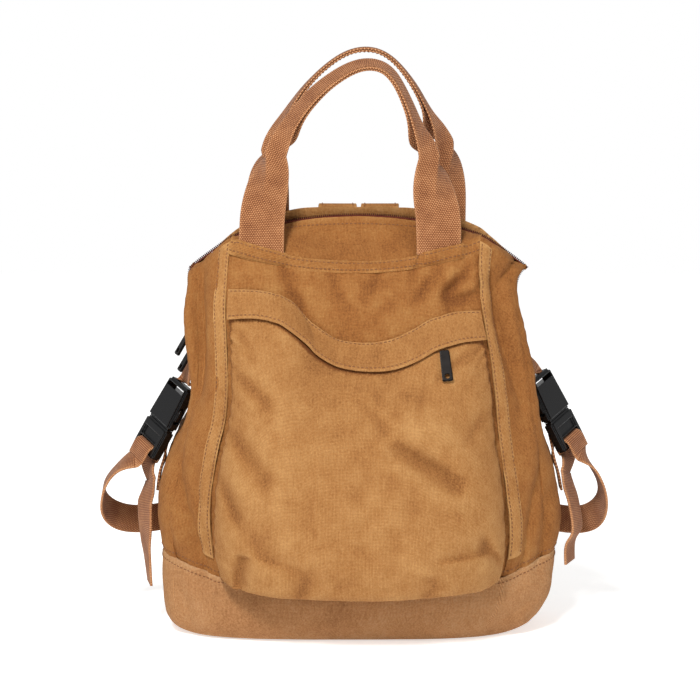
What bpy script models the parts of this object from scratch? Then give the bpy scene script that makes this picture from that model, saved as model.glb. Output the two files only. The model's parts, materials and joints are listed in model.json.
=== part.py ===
"""A canvas backpack with two webbing handles, a pouch pocket, side buckles and shoulder straps.

Metres, +Z up. The front faces -Y and the origin is the centre of the base's underside.
Every cloth panel is a patch of one skin, a loft through the SECTIONS table, so what is
sewn to a panel takes its place from the same skin with a named lift.
"""

import math
from collections import namedtuple

import bmesh
import bpy
from mathutils import Matrix, Vector

# Driving sizes of the bag
BODY_HEIGHT = 0.362
BODY_WIDTH = 0.350
BODY_DEPTH = 0.140
CANVAS = 0.0018
SEAM_GAP = 0.0004
LAY_GAP = 0.0005
ZIP_SLOT = 0.0100
ZIP_TAPE = 0.0066
FRONT_SEAMS = (0.72, 0.93)
BACK_SEAMS = (0.50, 0.88)

# Pouch pocket
POCKET_REACH = 0.041
POUCH_SPAN = 0.975
POUCH_EASE = 0.0044
FLAP_CLOTH = 0.0016
BAND_LAP = 0.003
BAND_REACH = 0.17

# Webbing
HANDLE_WEBBING = 0.038
HANDLE_RISE = 0.152
HANDLE_SPAN = 0.176
WEBBING_THICK = 0.0020
FOOT_EASE = 0.0003
STRAP_WEBBING = 0.025
BAND_WIDTH = 0.033
BAND_THICK = 0.0040
LOOP_REACH = 0.0425

# Side-release buckles
BUCKLE_WIDTH = 0.036
BUCKLE_THICK = 0.0115
SOCKET_LENGTH = 0.040
PLUG_LENGTH = 0.029
BUCKLE_FACE = 38.0
BUCKLE_CLEAR = 0.0005
BUCKLE_BACK = 0.009
WRAP = 0.0016

# Zips
ZIP_TEETH = 0.0046
ZIP_THICK = 0.0008
PULL_LENGTH = 0.027
PULL_WIDTH = 0.0110
PULL_THICK = 0.0022
SLIDER_THICK = 0.0026

# Hems and felled seams
HEM_CLOTH = 0.0014
HEM_HEIGHT = 0.011
FELL_END = 1.25

HALF_WIDTH = BODY_WIDTH / 2
HALF_DEPTH = BODY_DEPTH / 2

# Rings of the skin from the floor to the zip. Rises are shares of BODY_HEIGHT: at the middle of
# the front, the middle of the back, the front seam and the side. Widths are shares of HALF_WIDTH,
# depths and the inward tuck of the sides shares of HALF_DEPTH. Square is the corner's exponent,
# and shift the slump of the soft bag to its right, a share of HALF_WIDTH.
Section = namedtuple(
    "Section", "front_rise back_rise seam_rise side_rise width front back square tuck shift"
)
SECTIONS = (
    Section(0.000, 0.000, 0.000, 0.000, 0.790, 0.700, 0.700, 3.4, 0.00, -0.045),
    Section(0.010, 0.010, 0.010, 0.012, 0.875, 0.830, 0.820, 3.3, 0.00, -0.040),
    Section(0.038, 0.038, 0.038, 0.044, 0.940, 0.920, 0.900, 3.3, 0.00, -0.024),
    Section(0.092, 0.096, 0.096, 0.112, 0.980, 0.960, 0.930, 3.3, 0.00, 0.000),
    Section(0.142, 0.155, 0.156, 0.203, 0.988, 0.940, 0.930, 3.3, 0.00, 0.012),
    Section(0.240, 0.250, 0.256, 0.290, 1.010, 1.020, 0.970, 3.3, 0.00, 0.015),
    Section(0.358, 0.358, 0.358, 0.374, 0.992, 1.030, 0.970, 3.2, 0.00, 0.010),
    Section(0.464, 0.464, 0.464, 0.470, 0.945, 1.000, 0.940, 3.1, 0.06, 0.014),
    Section(0.530, 0.530, 0.530, 0.532, 0.912, 0.960, 0.900, 3.0, 0.16, 0.022),
    Section(0.597, 0.597, 0.597, 0.596, 0.894, 0.915, 0.860, 3.0, 0.26, 0.022),
    Section(0.685, 0.685, 0.685, 0.682, 0.880, 0.830, 0.800, 3.0, 0.25, 0.010),
    Section(0.785, 0.785, 0.785, 0.775, 0.862, 0.730, 0.700, 2.9, 0.18, -0.012),
    Section(0.845, 0.862, 0.872, 0.838, 0.844, 0.630, 0.580, 2.8, 0.11, -0.018),
    Section(0.900, 0.934, 0.952, 0.868, 0.840, 0.510, 0.450, 2.8, 0.06, -0.006),
    Section(0.952, 1.010, 0.958, 0.876, 0.836, 0.290, 0.310, 2.8, 0.02, 0.008),
    Section(1.000, 1.000, 0.955, 0.879, 0.834, 0.0714, 0.0714, 4.0, 0.00, 0.008),
)
BASE_SEAM = 4
BACK_EDGE = 14
HEM_SEAM = 13
FRONT_FOOT = 13.08
BACK_FOOT = 13.2
RIDGE = len(SECTIONS) - 1
ZIP_END = 9.0
TUCK_SPREAD = 0.34

# Main folds of the cloth, each a valley or a ridge along a line on one face. Places are shares of
# HALF_WIDTH and BODY_HEIGHT, spread and depth shares of HALF_DEPTH; a negative depth is a valley.
Fold = namedtuple("Fold", "face x rise x_end rise_end spread depth")
FOLDS = (
    Fold("front", -0.74, 0.88, -0.80, 0.62, 0.070, -0.075),
    Fold("front", -0.70, 0.80, -0.74, 0.40, 0.110, 0.040),
    Fold("front", -0.88, 0.44, -0.84, 0.24, 0.070, -0.050),
    Fold("front", 0.70, 0.84, 0.80, 0.52, 0.065, -0.060),
    Fold("front", 0.76, 0.80, 0.88, 0.44, 0.080, 0.045),
    Fold("front", 0.94, 0.48, 0.88, 0.22, 0.070, -0.045),
    Fold("front", 0.76, 0.42, 0.84, 0.20, 0.080, -0.030),
    Fold("front", 0.38, 0.80, 0.62, 0.86, 0.060, -0.035),
    Fold("front", -0.10, 0.955, 0.18, 0.925, 0.080, -0.040),
    Fold("front", -0.80, 0.17, -0.62, 0.05, 0.120, -0.070),
    Fold("front", 0.62, 0.05, 0.86, 0.13, 0.120, -0.050),
    Fold("back", -0.70, 0.66, -0.20, 0.52, 0.100, -0.035),
    Fold("back", 0.68, 0.60, 0.24, 0.44, 0.100, -0.035),
    Fold("back", -0.50, 0.20, 0.40, 0.24, 0.110, -0.030),
)

# Rows of the pouch from its sewn lower edge, under and round the belly, to the zip. Level is a
# place between two SECTIONS rows until the belly, then lift is a share of the way to the zip.
PouchRow = namedtuple("PouchRow", "level lift reach spread")
POUCH = (
    PouchRow(4.35, 0.00, 0.00, 0.90),
    PouchRow(3.75, 0.00, 0.42, 0.93),
    PouchRow(3.50, 0.00, 0.76, 0.955),
    PouchRow(3.70, 0.00, 0.93, 0.98),
    PouchRow(4.30, 0.00, 1.00, 1.00),
    PouchRow(4.90, 0.00, 1.00, 1.00),
    PouchRow(4.90, 0.22, 0.93, 1.00),
    PouchRow(4.90, 0.44, 0.79, 1.00),
    PouchRow(4.90, 0.64, 0.60, 1.00),
    PouchRow(4.90, 0.82, 0.38, 1.00),
    PouchRow(4.90, 0.93, 0.22, 1.00),
    PouchRow(4.90, 1.00, 0.10, 1.00),
)
POUCH_CORNER = 3.4
POUCH_FALL = 0.55

# Dents and puckers of the pouch, by share across and row from the lower edge
PouchFold = namedtuple("PouchFold", "across row across_end row_end spread depth")
POUCH_FOLDS = (
    PouchFold(-1.00, 9.6, -0.62, 8.8, 0.10, -0.16),
    PouchFold(-1.00, 8.4, -0.74, 7.7, 0.10, -0.14),
    PouchFold(-0.98, 6.6, -0.70, 5.6, 0.12, -0.12),
    PouchFold(0.98, 9.8, 0.58, 9.0, 0.10, -0.13),
    PouchFold(0.10, 9.0, 0.62, 6.6, 0.09, -0.10),
    PouchFold(0.34, 7.8, 0.74, 6.4, 0.07, -0.09),
    PouchFold(-0.78, 2.0, -0.70, 4.0, 0.07, -0.14),
    PouchFold(0.90, 5.6, 0.74, 3.6, 0.10, -0.08),
)

# The wavy zip band: across as a share of HALF_WIDTH, its two edges as shares of BODY_HEIGHT
Wave = namedtuple("Wave", "x lower upper")
WAVE = (
    Wave(-0.70, 0.772, 0.838),
    Wave(-0.48, 0.782, 0.838),
    Wave(-0.36, 0.769, 0.826),
    Wave(-0.28, 0.737, 0.802),
    Wave(-0.20, 0.700, 0.764),
    Wave(-0.09, 0.670, 0.728),
    Wave(0.04, 0.660, 0.718),
    Wave(0.16, 0.663, 0.724),
    Wave(0.27, 0.680, 0.744),
    Wave(0.38, 0.707, 0.772),
    Wave(0.52, 0.725, 0.786),
    Wave(0.72, 0.730, 0.788),
)

# Handles from the left foot over the arch to the right foot. x is a share of half the span, rise
# of HANDLE_RISE above the hem, back a share of the way in depth from the foot to the bag's middle,
# width of the webbing and turn in degrees of its front edge towards the viewer. Fold is 1 where
# the webbing lies doubled.
Grip = namedtuple("Grip", "x rise back width turn fold")
FRONT_GRIP = (
    Grip(-0.920, 0.137, 0.02, 1.00, 2.0, 0.0),
    Grip(-0.870, 0.302, 0.06, 0.98, 6.0, 0.0),
    Grip(-0.808, 0.445, 0.13, 0.78, 14.0, 0.3),
    Grip(-0.756, 0.545, 0.19, 0.54, 28.0, 0.8),
    Grip(-0.645, 0.672, 0.28, 0.47, 44.0, 1.0),
    Grip(-0.422, 0.834, 0.40, 0.47, 52.0, 1.0),
    Grip(-0.134, 0.960, 0.55, 0.47, 60.0, 1.0),
    Grip(0.106, 1.005, 0.62, 0.47, 65.0, 1.0),
    Grip(0.320, 0.963, 0.56, 0.47, 71.0, 1.0),
    Grip(0.484, 0.808, 0.42, 0.47, 76.0, 1.0),
    Grip(0.593, 0.648, 0.28, 0.48, 72.0, 1.0),
    Grip(0.670, 0.548, 0.19, 0.58, 48.0, 0.7),
    Grip(0.715, 0.420, 0.11, 0.84, 20.0, 0.2),
    Grip(0.742, 0.285, 0.06, 0.98, 8.0, 0.0),
    Grip(0.790, 0.140, 0.02, 1.00, 2.0, 0.0),
)
BACK_GRIP = (
    Grip(-0.892, 0.180, 0.02, 1.00, 2.0, 0.0),
    Grip(-0.885, 0.330, 0.06, 0.98, 8.0, 0.0),
    Grip(-0.856, 0.450, 0.12, 0.80, 20.0, 0.3),
    Grip(-0.830, 0.560, 0.16, 0.58, 50.0, 0.8),
    Grip(-0.720, 0.705, 0.24, 0.50, 78.0, 1.0),
    Grip(-0.480, 0.900, 0.36, 0.48, 84.0, 1.0),
    Grip(-0.166, 1.052, 0.46, 0.47, 84.0, 1.0),
    Grip(0.107, 1.092, 0.50, 0.47, 84.0, 1.0),
    Grip(0.342, 1.040, 0.46, 0.47, 84.0, 1.0),
    Grip(0.560, 0.892, 0.38, 0.48, 80.0, 1.0),
    Grip(0.717, 0.730, 0.26, 0.50, 78.0, 1.0),
    Grip(0.830, 0.610, 0.18, 0.54, 64.0, 0.8),
    Grip(0.886, 0.500, 0.12, 0.76, 34.0, 0.4),
    Grip(0.882, 0.372, 0.07, 0.96, 12.0, 0.0),
    Grip(0.866, 0.180, 0.02, 1.00, 2.0, 0.0),
)

# Shoulder strap from the back's top edge, down the back, out round the side and up into the plug.
# x is a share of HALF_WIDTH, y of HALF_DEPTH, rise of BODY_HEIGHT, reach a share of LOOP_REACH
# added outwards. The last three columns are the direction of the webbing's width.
Run = namedtuple("Run", "x y rise reach width_x width_y width_z")
BAND_RUN = (
    Run(0.110, 0.56, 0.960, 0.0, 1.0, 0.00, 0.00),
    Run(0.150, 0.82, 0.890, 0.0, 1.0, 0.02, 0.02),
    Run(0.210, 1.10, 0.780, 0.0, 1.0, 0.04, 0.05),
    Run(0.290, 1.33, 0.640, 0.0, 1.0, 0.06, 0.10),
    Run(0.390, 1.42, 0.500, 0.0, 1.0, 0.08, 0.20),
    Run(0.480, 1.40, 0.400, 0.0, 1.0, 0.08, 0.34),
)
LOOP_LEFT = (
    Run(0.640, 1.36, 0.300, 0.00, 0.80, 0.05, 0.60),
    Run(0.820, 1.22, 0.246, 0.00, 0.50, 0.00, 0.86),
    Run(1.000, 0.86, 0.228, 0.16, 0.15, 0.00, 1.00),
    Run(1.050, 0.56, 0.240, 0.66, 0.05, 0.20, 0.98),
    Run(1.050, 0.34, 0.285, 1.00, 0.00, 0.60, 0.80),
    Run(1.050, 0.22, 0.340, 0.94, -0.05, 0.90, 0.40),
    Run(1.050, 0.12, 0.392, 0.60, -0.10, 0.96, 0.20),
)
LOOP_RIGHT = (
    Run(0.640, 1.36, 0.300, 0.00, 0.80, 0.05, 0.60),
    Run(0.830, 1.22, 0.246, 0.00, 0.50, 0.00, 0.86),
    Run(1.010, 0.86, 0.226, 0.14, 0.15, 0.00, 1.00),
    Run(1.060, 0.56, 0.238, 0.52, 0.05, 0.00, 1.00),
    Run(1.050, 0.34, 0.282, 0.82, -0.05, 0.25, 0.96),
    Run(1.040, 0.20, 0.340, 0.82, -0.35, 0.55, 0.75),
    Run(1.050, 0.12, 0.398, 0.50, -0.45, 0.75, 0.45),
)
# The strap's free tail below the plug, from its slot to the hemmed end
TAIL_LEFT = (
    Run(1.040, 0.12, 0.358, 0.0, 0.28, 0.95, 0.00),
    Run(1.054, 0.05, 0.327, 0.0, 0.45, 0.88, 0.00),
    Run(1.066, -0.02, 0.300, 0.0, 0.52, 0.85, 0.00),
    Run(1.062, -0.08, 0.250, 0.0, 0.50, 0.86, 0.00),
    Run(1.062, -0.07, 0.205, 0.0, 0.38, 0.92, 0.00),
    Run(1.055, -0.06, 0.170, 0.0, 0.30, 0.95, 0.00),
    Run(1.045, -0.06, 0.106, 0.0, 0.22, 0.97, 0.00),
)
TAIL_RIGHT = (
    Run(1.052, 0.12, 0.376, 0.0, 0.30, 0.94, 0.00),
    Run(1.066, 0.05, 0.342, 0.0, 0.40, 0.90, 0.00),
    Run(1.088, -0.03, 0.304, 0.0, 0.40, 0.90, 0.00),
    Run(1.105, -0.10, 0.243, 0.0, 0.42, 0.90, 0.00),
    Run(1.070, -0.08, 0.208, 0.0, 0.42, 0.90, 0.00),
    Run(1.070, -0.08, 0.160, 0.0, 0.40, 0.90, 0.00),
)

# The strap's way through the plug's slot: metres past the plug's end, and shares of its half depth
STRAP_WRAP = (
    (0.0040, 1.00),
    (-0.0040, 1.00),
    (-0.0080, 0.55),
    (-0.0080, -0.55),
    (-0.0040, -1.00),
    (0.0080, -1.15),
)

Finish = namedtuple("Finish", "color metallic roughness")
FINISHES = {
    "canvas": Finish((0.46, 0.235, 0.092, 1), 0.0, 0.92),
    "webbing": Finish((0.40, 0.185, 0.085, 1), 0.0, 0.88),
    "zip_tape": Finish((0.18, 0.045, 0.03, 1), 0.0, 0.70),
    "buckle_plastic": Finish((0.012, 0.012, 0.014, 1), 0.0, 0.32),
    "pull_metal": Finish((0.05, 0.04, 0.036, 1), 1.0, 0.38),
}

# Where each buckle hangs: shares of HALF_WIDTH and BODY_HEIGHT, and its tilt in degrees
Hang = namedtuple("Hang", "word out rise tilt loop tail")
LEFT, RIGHT = -1, 1
SIDES = {
    LEFT: Hang("left", 0.982, 0.495, 29.0, LOOP_LEFT, TAIL_LEFT),
    RIGHT: Hang("right", 1.002, 0.514, 27.0, LOOP_RIGHT, TAIL_RIGHT),
}


def clear_scene():
    for thing in list(bpy.data.objects):
        bpy.data.objects.remove(thing, do_unlink=True)


def new_collection(name):
    made = bpy.data.collections.new(name)
    bpy.context.scene.collection.children.link(made)
    return made


def material(name):
    found = bpy.data.materials.get(name)
    if found:
        return found
    finish = FINISHES[name]
    made = bpy.data.materials.new(name)
    made.use_nodes = True
    shader = made.node_tree.nodes["Principled BSDF"]
    shader.inputs["Base Color"].default_value = finish.color
    shader.inputs["Metallic"].default_value = finish.metallic
    shader.inputs["Roughness"].default_value = finish.roughness
    return made


clear_scene()
PARTS = new_collection("canvas_backpack")
CUTTERS = new_collection("cutters")


def mixed(rows, place):
    """The row of a table at a place between rows, on a smooth curve through them."""
    place = min(max(place, 0.0), len(rows) - 1.0)
    first = min(int(place), len(rows) - 2)
    share = place - first
    before, start = rows[max(first - 1, 0)], rows[first]
    end, after = rows[first + 1], rows[min(first + 2, len(rows) - 1)]
    values = []
    for a, b, c, d in zip(before, start, end, after):
        if isinstance(b, str):
            values.append(b)
            continue
        bend = 2 * b - 2 * c + (c - a) / 2 + (d - b) / 2
        slope = -3 * b + 3 * c - (c - a) - (d - b) / 2
        values.append(b + share * ((c - a) / 2 + share * (slope + share * bend)))
    return type(start)(*values)


def between(low, high, count):
    return [low + (high - low) * i / (count - 1) for i in range(count)]


def corner_angle(share, square):
    """The angle round a ring at which its width is this share of the half width."""
    return math.atan2(share, (1 - share**square) ** (1 / square))


def ring_angle(face, across, square):
    """Across counts seams: 0 the middle, 1 the front seam, 2 the corner seam, 3 the side."""
    shares = FRONT_SEAMS if face == "front" else BACK_SEAMS
    marks = [0.0, *(corner_angle(s, square) for s in shares), math.pi / 2]
    place = min(abs(across), 3.0)
    first = min(int(place), 2)
    return marks[first] + (marks[first + 1] - marks[first]) * (place - first)


def slot_at(level):
    """Width of the gap between the front and the back half, which holds the zip."""
    return ZIP_SLOT * min(max((level - ZIP_END) / 0.4, 0.0), 1.0)


def rise_at(face, section, share):
    middle = section.front_rise if face == "front" else section.back_rise
    seam = FRONT_SEAMS[0]
    if share < seam:
        bend = 2 if face == "front" else 3
        return middle + (section.seam_rise - middle) * (share / seam) ** bend
    outer = (share - seam) / (1 - seam)
    return section.seam_rise + (section.side_rise - section.seam_rise) * outer


def fold_depth(folds, across, along, face=None):
    """Summed depth of the folds at a place, as the tables' shares."""
    total = 0.0
    for fold in folds:
        if face and fold[0] != face:
            continue
        x1, y1, x2, y2, spread, depth = fold[-6:]
        dx, dy = x2 - x1, y2 - y1
        way = ((across - x1) * dx + (along - y1) * dy) / (dx * dx + dy * dy)
        way = min(max(way, 0.0), 1.0)
        gap = math.hypot(across - x1 - way * dx, along - y1 - way * dy)
        strength = 0.35 + 0.65 * math.sin(math.pi * (0.12 + 0.76 * way))
        total += depth * strength * math.exp(-((gap / spread) ** 2))
    return total


def skin(face, across, level):
    """A point of the bag's outer face, with its folds."""
    section = mixed(SECTIONS, level)
    angle = ring_angle(face, across, section.square)
    sine, cosine = math.sin(angle), math.cos(angle)
    reach = (sine**section.square + abs(cosine) ** section.square) ** (-1 / section.square)
    share, depth_share = min(reach * sine, 1.0), max(reach * cosine, 0.0)
    slot = slot_at(level) / 2
    half = max((section.front if face == "front" else section.back) * HALF_DEPTH, slot)
    depth = slot + (half - slot) * depth_share
    tuck = section.tuck * HALF_DEPTH * math.exp(-((depth / (TUCK_SPREAD * HALF_DEPTH)) ** 2))
    width = section.width * HALF_WIDTH
    rise = rise_at(face, section, share) * BODY_HEIGHT
    power = section.square - 1
    out = Vector((share**power / width, depth_share**power / max(half, 0.02), 0)).normalized()
    sign = -1 if across < 0 else 1
    fold = fold_depth(FOLDS, sign * share * width / HALF_WIDTH, rise / BODY_HEIGHT, face)
    fade = min(1.0, (RIDGE - level) / 0.8) * min(1.0, level / 1.5)
    lifted = fold * HALF_DEPTH * fade
    x = sign * (share * width - tuck * share**4 + out.x * lifted) + section.shift * HALF_WIDTH
    y = depth + out.y * lifted
    return Vector((x, -y if face == "front" else y, rise))


def skin_normal(face, across, level):
    step = 0.02
    low, high = max(level - step, 0.0), min(level + step, RIDGE)
    sign = -1 if across < 0 else 1
    inner, outer = max(abs(across) - step, 0.0), min(abs(across) + step, 3.0)
    sideways = skin(face, sign * outer, level) - skin(face, sign * inner, level)
    upwards = skin(face, across, high) - skin(face, across, low)
    normal = sideways.cross(upwards).normalized()
    section = mixed(SECTIONS, level)
    middle = Vector((0, 0, rise_at(face, section, 0.5) * BODY_HEIGHT * 0.85))
    return normal if normal.dot(skin(face, across, level) - middle) > 0 else -normal


def on_skin(face, across, level, lift):
    return skin(face, across, level) + skin_normal(face, across, level) * lift


def level_at(face, across, rise):
    """The level at which the skin has this height."""
    low, high = 0.0, float(RIDGE)
    for _ in range(22):
        middle = (low + high) / 2
        if skin(face, across, middle).z < rise:
            low = middle
        else:
            high = middle
    return (low + high) / 2


def across_at(face, x, level):
    """How far across the skin has this x, at a level."""
    low, high = -3.0, 3.0
    for _ in range(22):
        middle = (low + high) / 2
        if skin(face, middle, level).x < x:
            low = middle
        else:
            high = middle
    return (low + high) / 2


def link_mesh(name, points, faces, finish):
    mesh = bpy.data.meshes.new(name)
    mesh.from_pydata([tuple(p) for p in points], [], faces)
    shaping = bmesh.new()
    shaping.from_mesh(mesh)
    bmesh.ops.recalc_face_normals(shaping, faces=shaping.faces)
    shaping.to_mesh(mesh)
    shaping.free()
    mesh.shade_smooth()
    mesh.set_sharp_from_angle(angle=math.radians(40))
    made = bpy.data.objects.new(name, mesh)
    made.data.materials.append(material(finish))
    PARTS.objects.link(made)
    return made


def sheet_solid(name, outer, inner):
    """A closed wall between two grids of points, rows of equal length, with its rim."""
    rows, columns = len(outer), len(outer[0])
    points = [p for row in outer for p in row] + [p for row in inner for p in row]
    back = rows * columns
    faces = []
    for r in range(rows - 1):
        for c in range(columns - 1):
            a = r * columns + c
            faces.append((a, a + 1, a + columns + 1, a + columns))
            faces.append((back + a, back + a + columns, back + a + columns + 1, back + a + 1))
    rim = [c for c in range(columns)]
    rim += [r * columns + columns - 1 for r in range(1, rows)]
    rim += [(rows - 1) * columns + c for c in range(columns - 2, -1, -1)]
    rim += [r * columns for r in range(rows - 2, 0, -1)]
    for a, b in zip(rim, rim[1:] + rim[:1]):
        faces.append((a, b, back + b, back + a))
    return link_mesh(name, points, faces, "canvas")


def pull_in(grid, gap):
    """Moves a grid's border inwards, so that neighbours keep a seam's gap."""
    rows, columns = len(grid), len(grid[0])
    moved = [[Vector(p) for p in row] for row in grid]
    for c in range(columns):
        for edge, inner in ((0, 1), (rows - 1, rows - 2)):
            moved[edge][c] += (grid[inner][c] - grid[edge][c]).normalized() * gap / 2
    for r in range(rows):
        for edge, inner in ((0, 1), (columns - 1, columns - 2)):
            moved[r][edge] += (grid[r][inner] - grid[r][edge]).normalized() * gap / 2
    return moved


def panel(name, face, acrosses, levels, thick=CANVAS, lift=0.0):
    """A patch of the skin as a wall of cloth, its outer face lifted by this much."""
    outer = [[on_skin(face, a, v, lift) for a in acrosses] for v in levels]
    inner = [[on_skin(face, a, v, lift - thick) for a in acrosses] for v in levels]
    return sheet_solid(name, pull_in(outer, SEAM_GAP), pull_in(inner, SEAM_GAP))


def body_panels():
    body_levels = between(BASE_SEAM, HEM_SEAM, 19)
    top_levels = body_levels + [HEM_SEAM + 0.5, HEM_SEAM + 1.0, HEM_SEAM + 1.5, RIDGE]
    back_levels = body_levels + [HEM_SEAM + 0.5, BACK_EDGE]
    panel("front_panel", "front", between(-1, 1, 9), body_levels)
    panel("throat_panel", "front", between(-1, 1, 9), [HEM_SEAM, 13.5, 14.0, 14.5, RIDGE])
    panel("back_panel", "back", between(-2, 2, 17), back_levels)
    panel("zip_facing_back", "back", between(-2, 2, 17), [BACK_EDGE, 14.5, RIDGE])
    for side, hang in SIDES.items():
        word = hang.word
        strip = [side * a for a in between(1, 2, 5)]
        gusset = [side * a for a in between(2, 3, 5)]
        panel(f"front_strip_{word}", "front", strip, top_levels)
        panel(f"gusset_front_{word}", "front", gusset, top_levels)
        panel(f"gusset_back_{word}", "back", gusset, top_levels)


def base_tub():
    """The bag's foot in one piece: a flat floor with the wall turned up all round."""
    levels = [0.0, 0.45, 1.0, 1.5, 2.0, 3.0, float(BASE_SEAM)]
    ring = [("front", a) for a in between(-3, 3, 25)] + [("back", a) for a in between(3, -3, 25)[1:-1]]
    outer, inner = [], []
    for level in levels:
        outer.append([skin(face, a, level) for face, a in ring])
        if level:
            inner.append([on_skin(face, a, level, -CANVAS) for face, a in ring])
        else:
            inner.append([skin(face, a, level) + Vector((0, 0, CANVAS)) for face, a in ring])
    for grid in (outer, inner):
        grid[-1] = [top + (low - top).normalized() * SEAM_GAP / 2 for top, low in zip(grid[-1], grid[-2])]
    count = len(ring)
    points = [p for row in outer + inner for p in row]
    back = len(levels) * count
    faces = []
    for r in range(len(levels) - 1):
        for c in range(count):
            a, b = r * count + c, r * count + (c + 1) % count
            faces.append((a, b, b + count, a + count))
            faces.append((back + b, back + a, back + a + count, back + b + count))
    top = (len(levels) - 1) * count
    for c in range(count):
        a, b = top + c, top + (c + 1) % count
        faces.append((a, b, back + b, back + a))
    faces.append(tuple(range(count - 1, -1, -1)))
    faces.append(tuple(range(back, back + count)))
    return link_mesh("base_tub", points, faces, "canvas")


def felled_seams():
    """The doubled seam that runs down each side of the front, proud of the cloth."""
    levels = between(BASE_SEAM, HEM_SEAM, 19)[1:]
    levels[-1] -= 0.1
    for side, hang in SIDES.items():
        word = hang.word
        across = [side, side * FELL_END]
        panel(f"felled_seam_{word}", "front", across, levels, HEM_CLOTH, HEM_CLOTH + LAY_GAP)


def hem_levels():
    depth = (skin("front", 0, HEM_SEAM) - skin("front", 0, HEM_SEAM - 0.5)).length
    return [HEM_SEAM - 0.5 * HEM_HEIGHT / depth, HEM_SEAM]


def top_hem():
    """The front's turned top edge, under which the handles' feet are sewn."""
    panel("top_hem", "front", between(-1, 1, 9), hem_levels(), HEM_CLOTH, HEM_CLOTH + LAY_GAP)


def wave_at(x, edge):
    """Height of the zip band's lower or upper edge at x, from the WAVE table."""
    share = min(max(x / HALF_WIDTH, WAVE[0].x), WAVE[-1].x)
    place = 0.0
    for i, (first, last) in enumerate(zip(WAVE, WAVE[1:])):
        if share >= first.x:
            place = i + (share - first.x) / (last.x - first.x)
    row = mixed(WAVE, place)
    return (row.lower if edge == "lower" else row.upper) * BODY_HEIGHT


def pouch_rim(share):
    """How far the pouch stands out at a share across, 1 in the middle and 0 at its edge."""
    return max(1 - abs(share) ** POUCH_CORNER, 0.0) ** POUCH_FALL


def pouch(share, row):
    """A point of the pouch's outer face at a share across and a row of the POUCH table."""
    entry = mixed(POUCH, row)
    across = share * entry.spread * POUCH_SPAN
    low = skin("front", across, entry.level)
    if entry.lift > 0:
        height = low.z + (wave_at(skin("front", across, 9).x, "lower") - low.z) * min(entry.lift, 1.0)
        low = skin("front", across, level_at("front", across, height))
    reach = POCKET_REACH * entry.reach * pouch_rim(share) * (1 + fold_depth(POUCH_FOLDS, share, row))
    tuck_up = 0.004 * (1 - pouch_rim(share)) * max(1 - row / 4, 0.0)
    return low + Vector((0, -reach - POUCH_EASE, tuck_up))


def pouch_normal(share, row):
    step = 0.03
    left, right = pouch(max(share - step, -1), row), pouch(min(share + step, 1), row)
    low, high = pouch(share, max(row - step, 0)), pouch(share, min(row + step, len(POUCH) - 1))
    return (right - left).cross(high - low).normalized()


def pocket():
    """The pouch that hangs on the front, a sewn sack of one thickness, hollow behind."""
    half = [0, 0.2, 0.4, 0.6, 0.78, 0.9, 0.97, 1]
    shares = [-s for s in half[:0:-1]] + half
    rows = [0, 0.6, 1.2, 1.8, 2.4, 3, 4, 5, 6, 7, 8, 9, 10, 11]
    outer = [[pouch(s, r) for s in shares] for r in rows]
    inner = [[pouch(s, r) - pouch_normal(s, r) * CANVAS for s in shares] for r in rows]
    sheet_solid("pocket_pouch", outer, inner)


def zip_band():
    """The wavy cloth band that covers the pocket's zip, its lower edge free."""
    outer, inner = [], []
    for share in between(-1, 1, 25):
        across = share * POUCH_SPAN
        x = skin("front", across, 10).x
        low, high = wave_at(x, "lower") - BAND_LAP, wave_at(x, "upper")
        proud = POUCH_EASE + POCKET_REACH * BAND_REACH * pouch_rim(share)
        line_out, line_in = [], []
        for step, part in ((0.0, 1.0), (0.3, 0.62), (0.65, 0.22), (1.0, 0.0)):
            level = level_at("front", across, low + (high - low) * step)
            stand = LAY_GAP + FLAP_CLOTH + proud * part
            line_out.append(on_skin("front", across, level, stand))
            line_in.append(on_skin("front", across, level, stand - FLAP_CLOTH))
        outer.append(line_out)
        inner.append(line_in)
    sheet_solid("pocket_zip_band", outer, inner)


def ribbon(name, lefts, rights, thicks, finish="webbing"):
    """Flat webbing through pairs of edge points, a thickness at each."""
    middles = [(a + b) / 2 for a, b in zip(lefts, rights)]
    last = len(middles) - 1
    points, faces = [], []
    for i, (left, right) in enumerate(zip(lefts, rights)):
        along = middles[min(i + 1, last)] - middles[max(i - 1, 0)]
        normal = along.cross(right - left).normalized() * thicks[i] / 2
        points += [left + normal, right + normal, right - normal, left - normal]
    for i in range(last):
        for j in range(4):
            a, b = 4 * i + j, 4 * i + (j + 1) % 4
            faces.append((a, b, b + 4, a + 4))
    faces.append((3, 2, 1, 0))
    faces.append((4 * last, 4 * last + 1, 4 * last + 2, 4 * last + 3))
    return link_mesh(name, points, faces, finish)


def smooth_points(points, pieces):
    """Points on a smooth curve through the given ones, with their places in the list."""
    Point = namedtuple("Point", "x y z")
    rows = [Point(*p) for p in points]
    places = between(0, len(rows) - 1, (len(rows) - 1) * pieces + 1)
    return [Vector(mixed(rows, place)) for place in places], places


def foot_edges(face, x, drop):
    """A handle's foot, flat against the skin: the edge points at one height."""
    level = FRONT_FOOT if face == "front" else BACK_FOOT - drop
    across = across_at(face, x, level)
    ease = FOOT_EASE if face == "front" else 0
    middle = on_skin(face, across, level, LAY_GAP + WEBBING_THICK / 2 + ease)
    tangent = (skin(face, across + 0.05, level) - skin(face, across - 0.05, level)).normalized()
    return middle - tangent * HANDLE_WEBBING / 2, middle + tangent * HANDLE_WEBBING / 2


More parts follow.
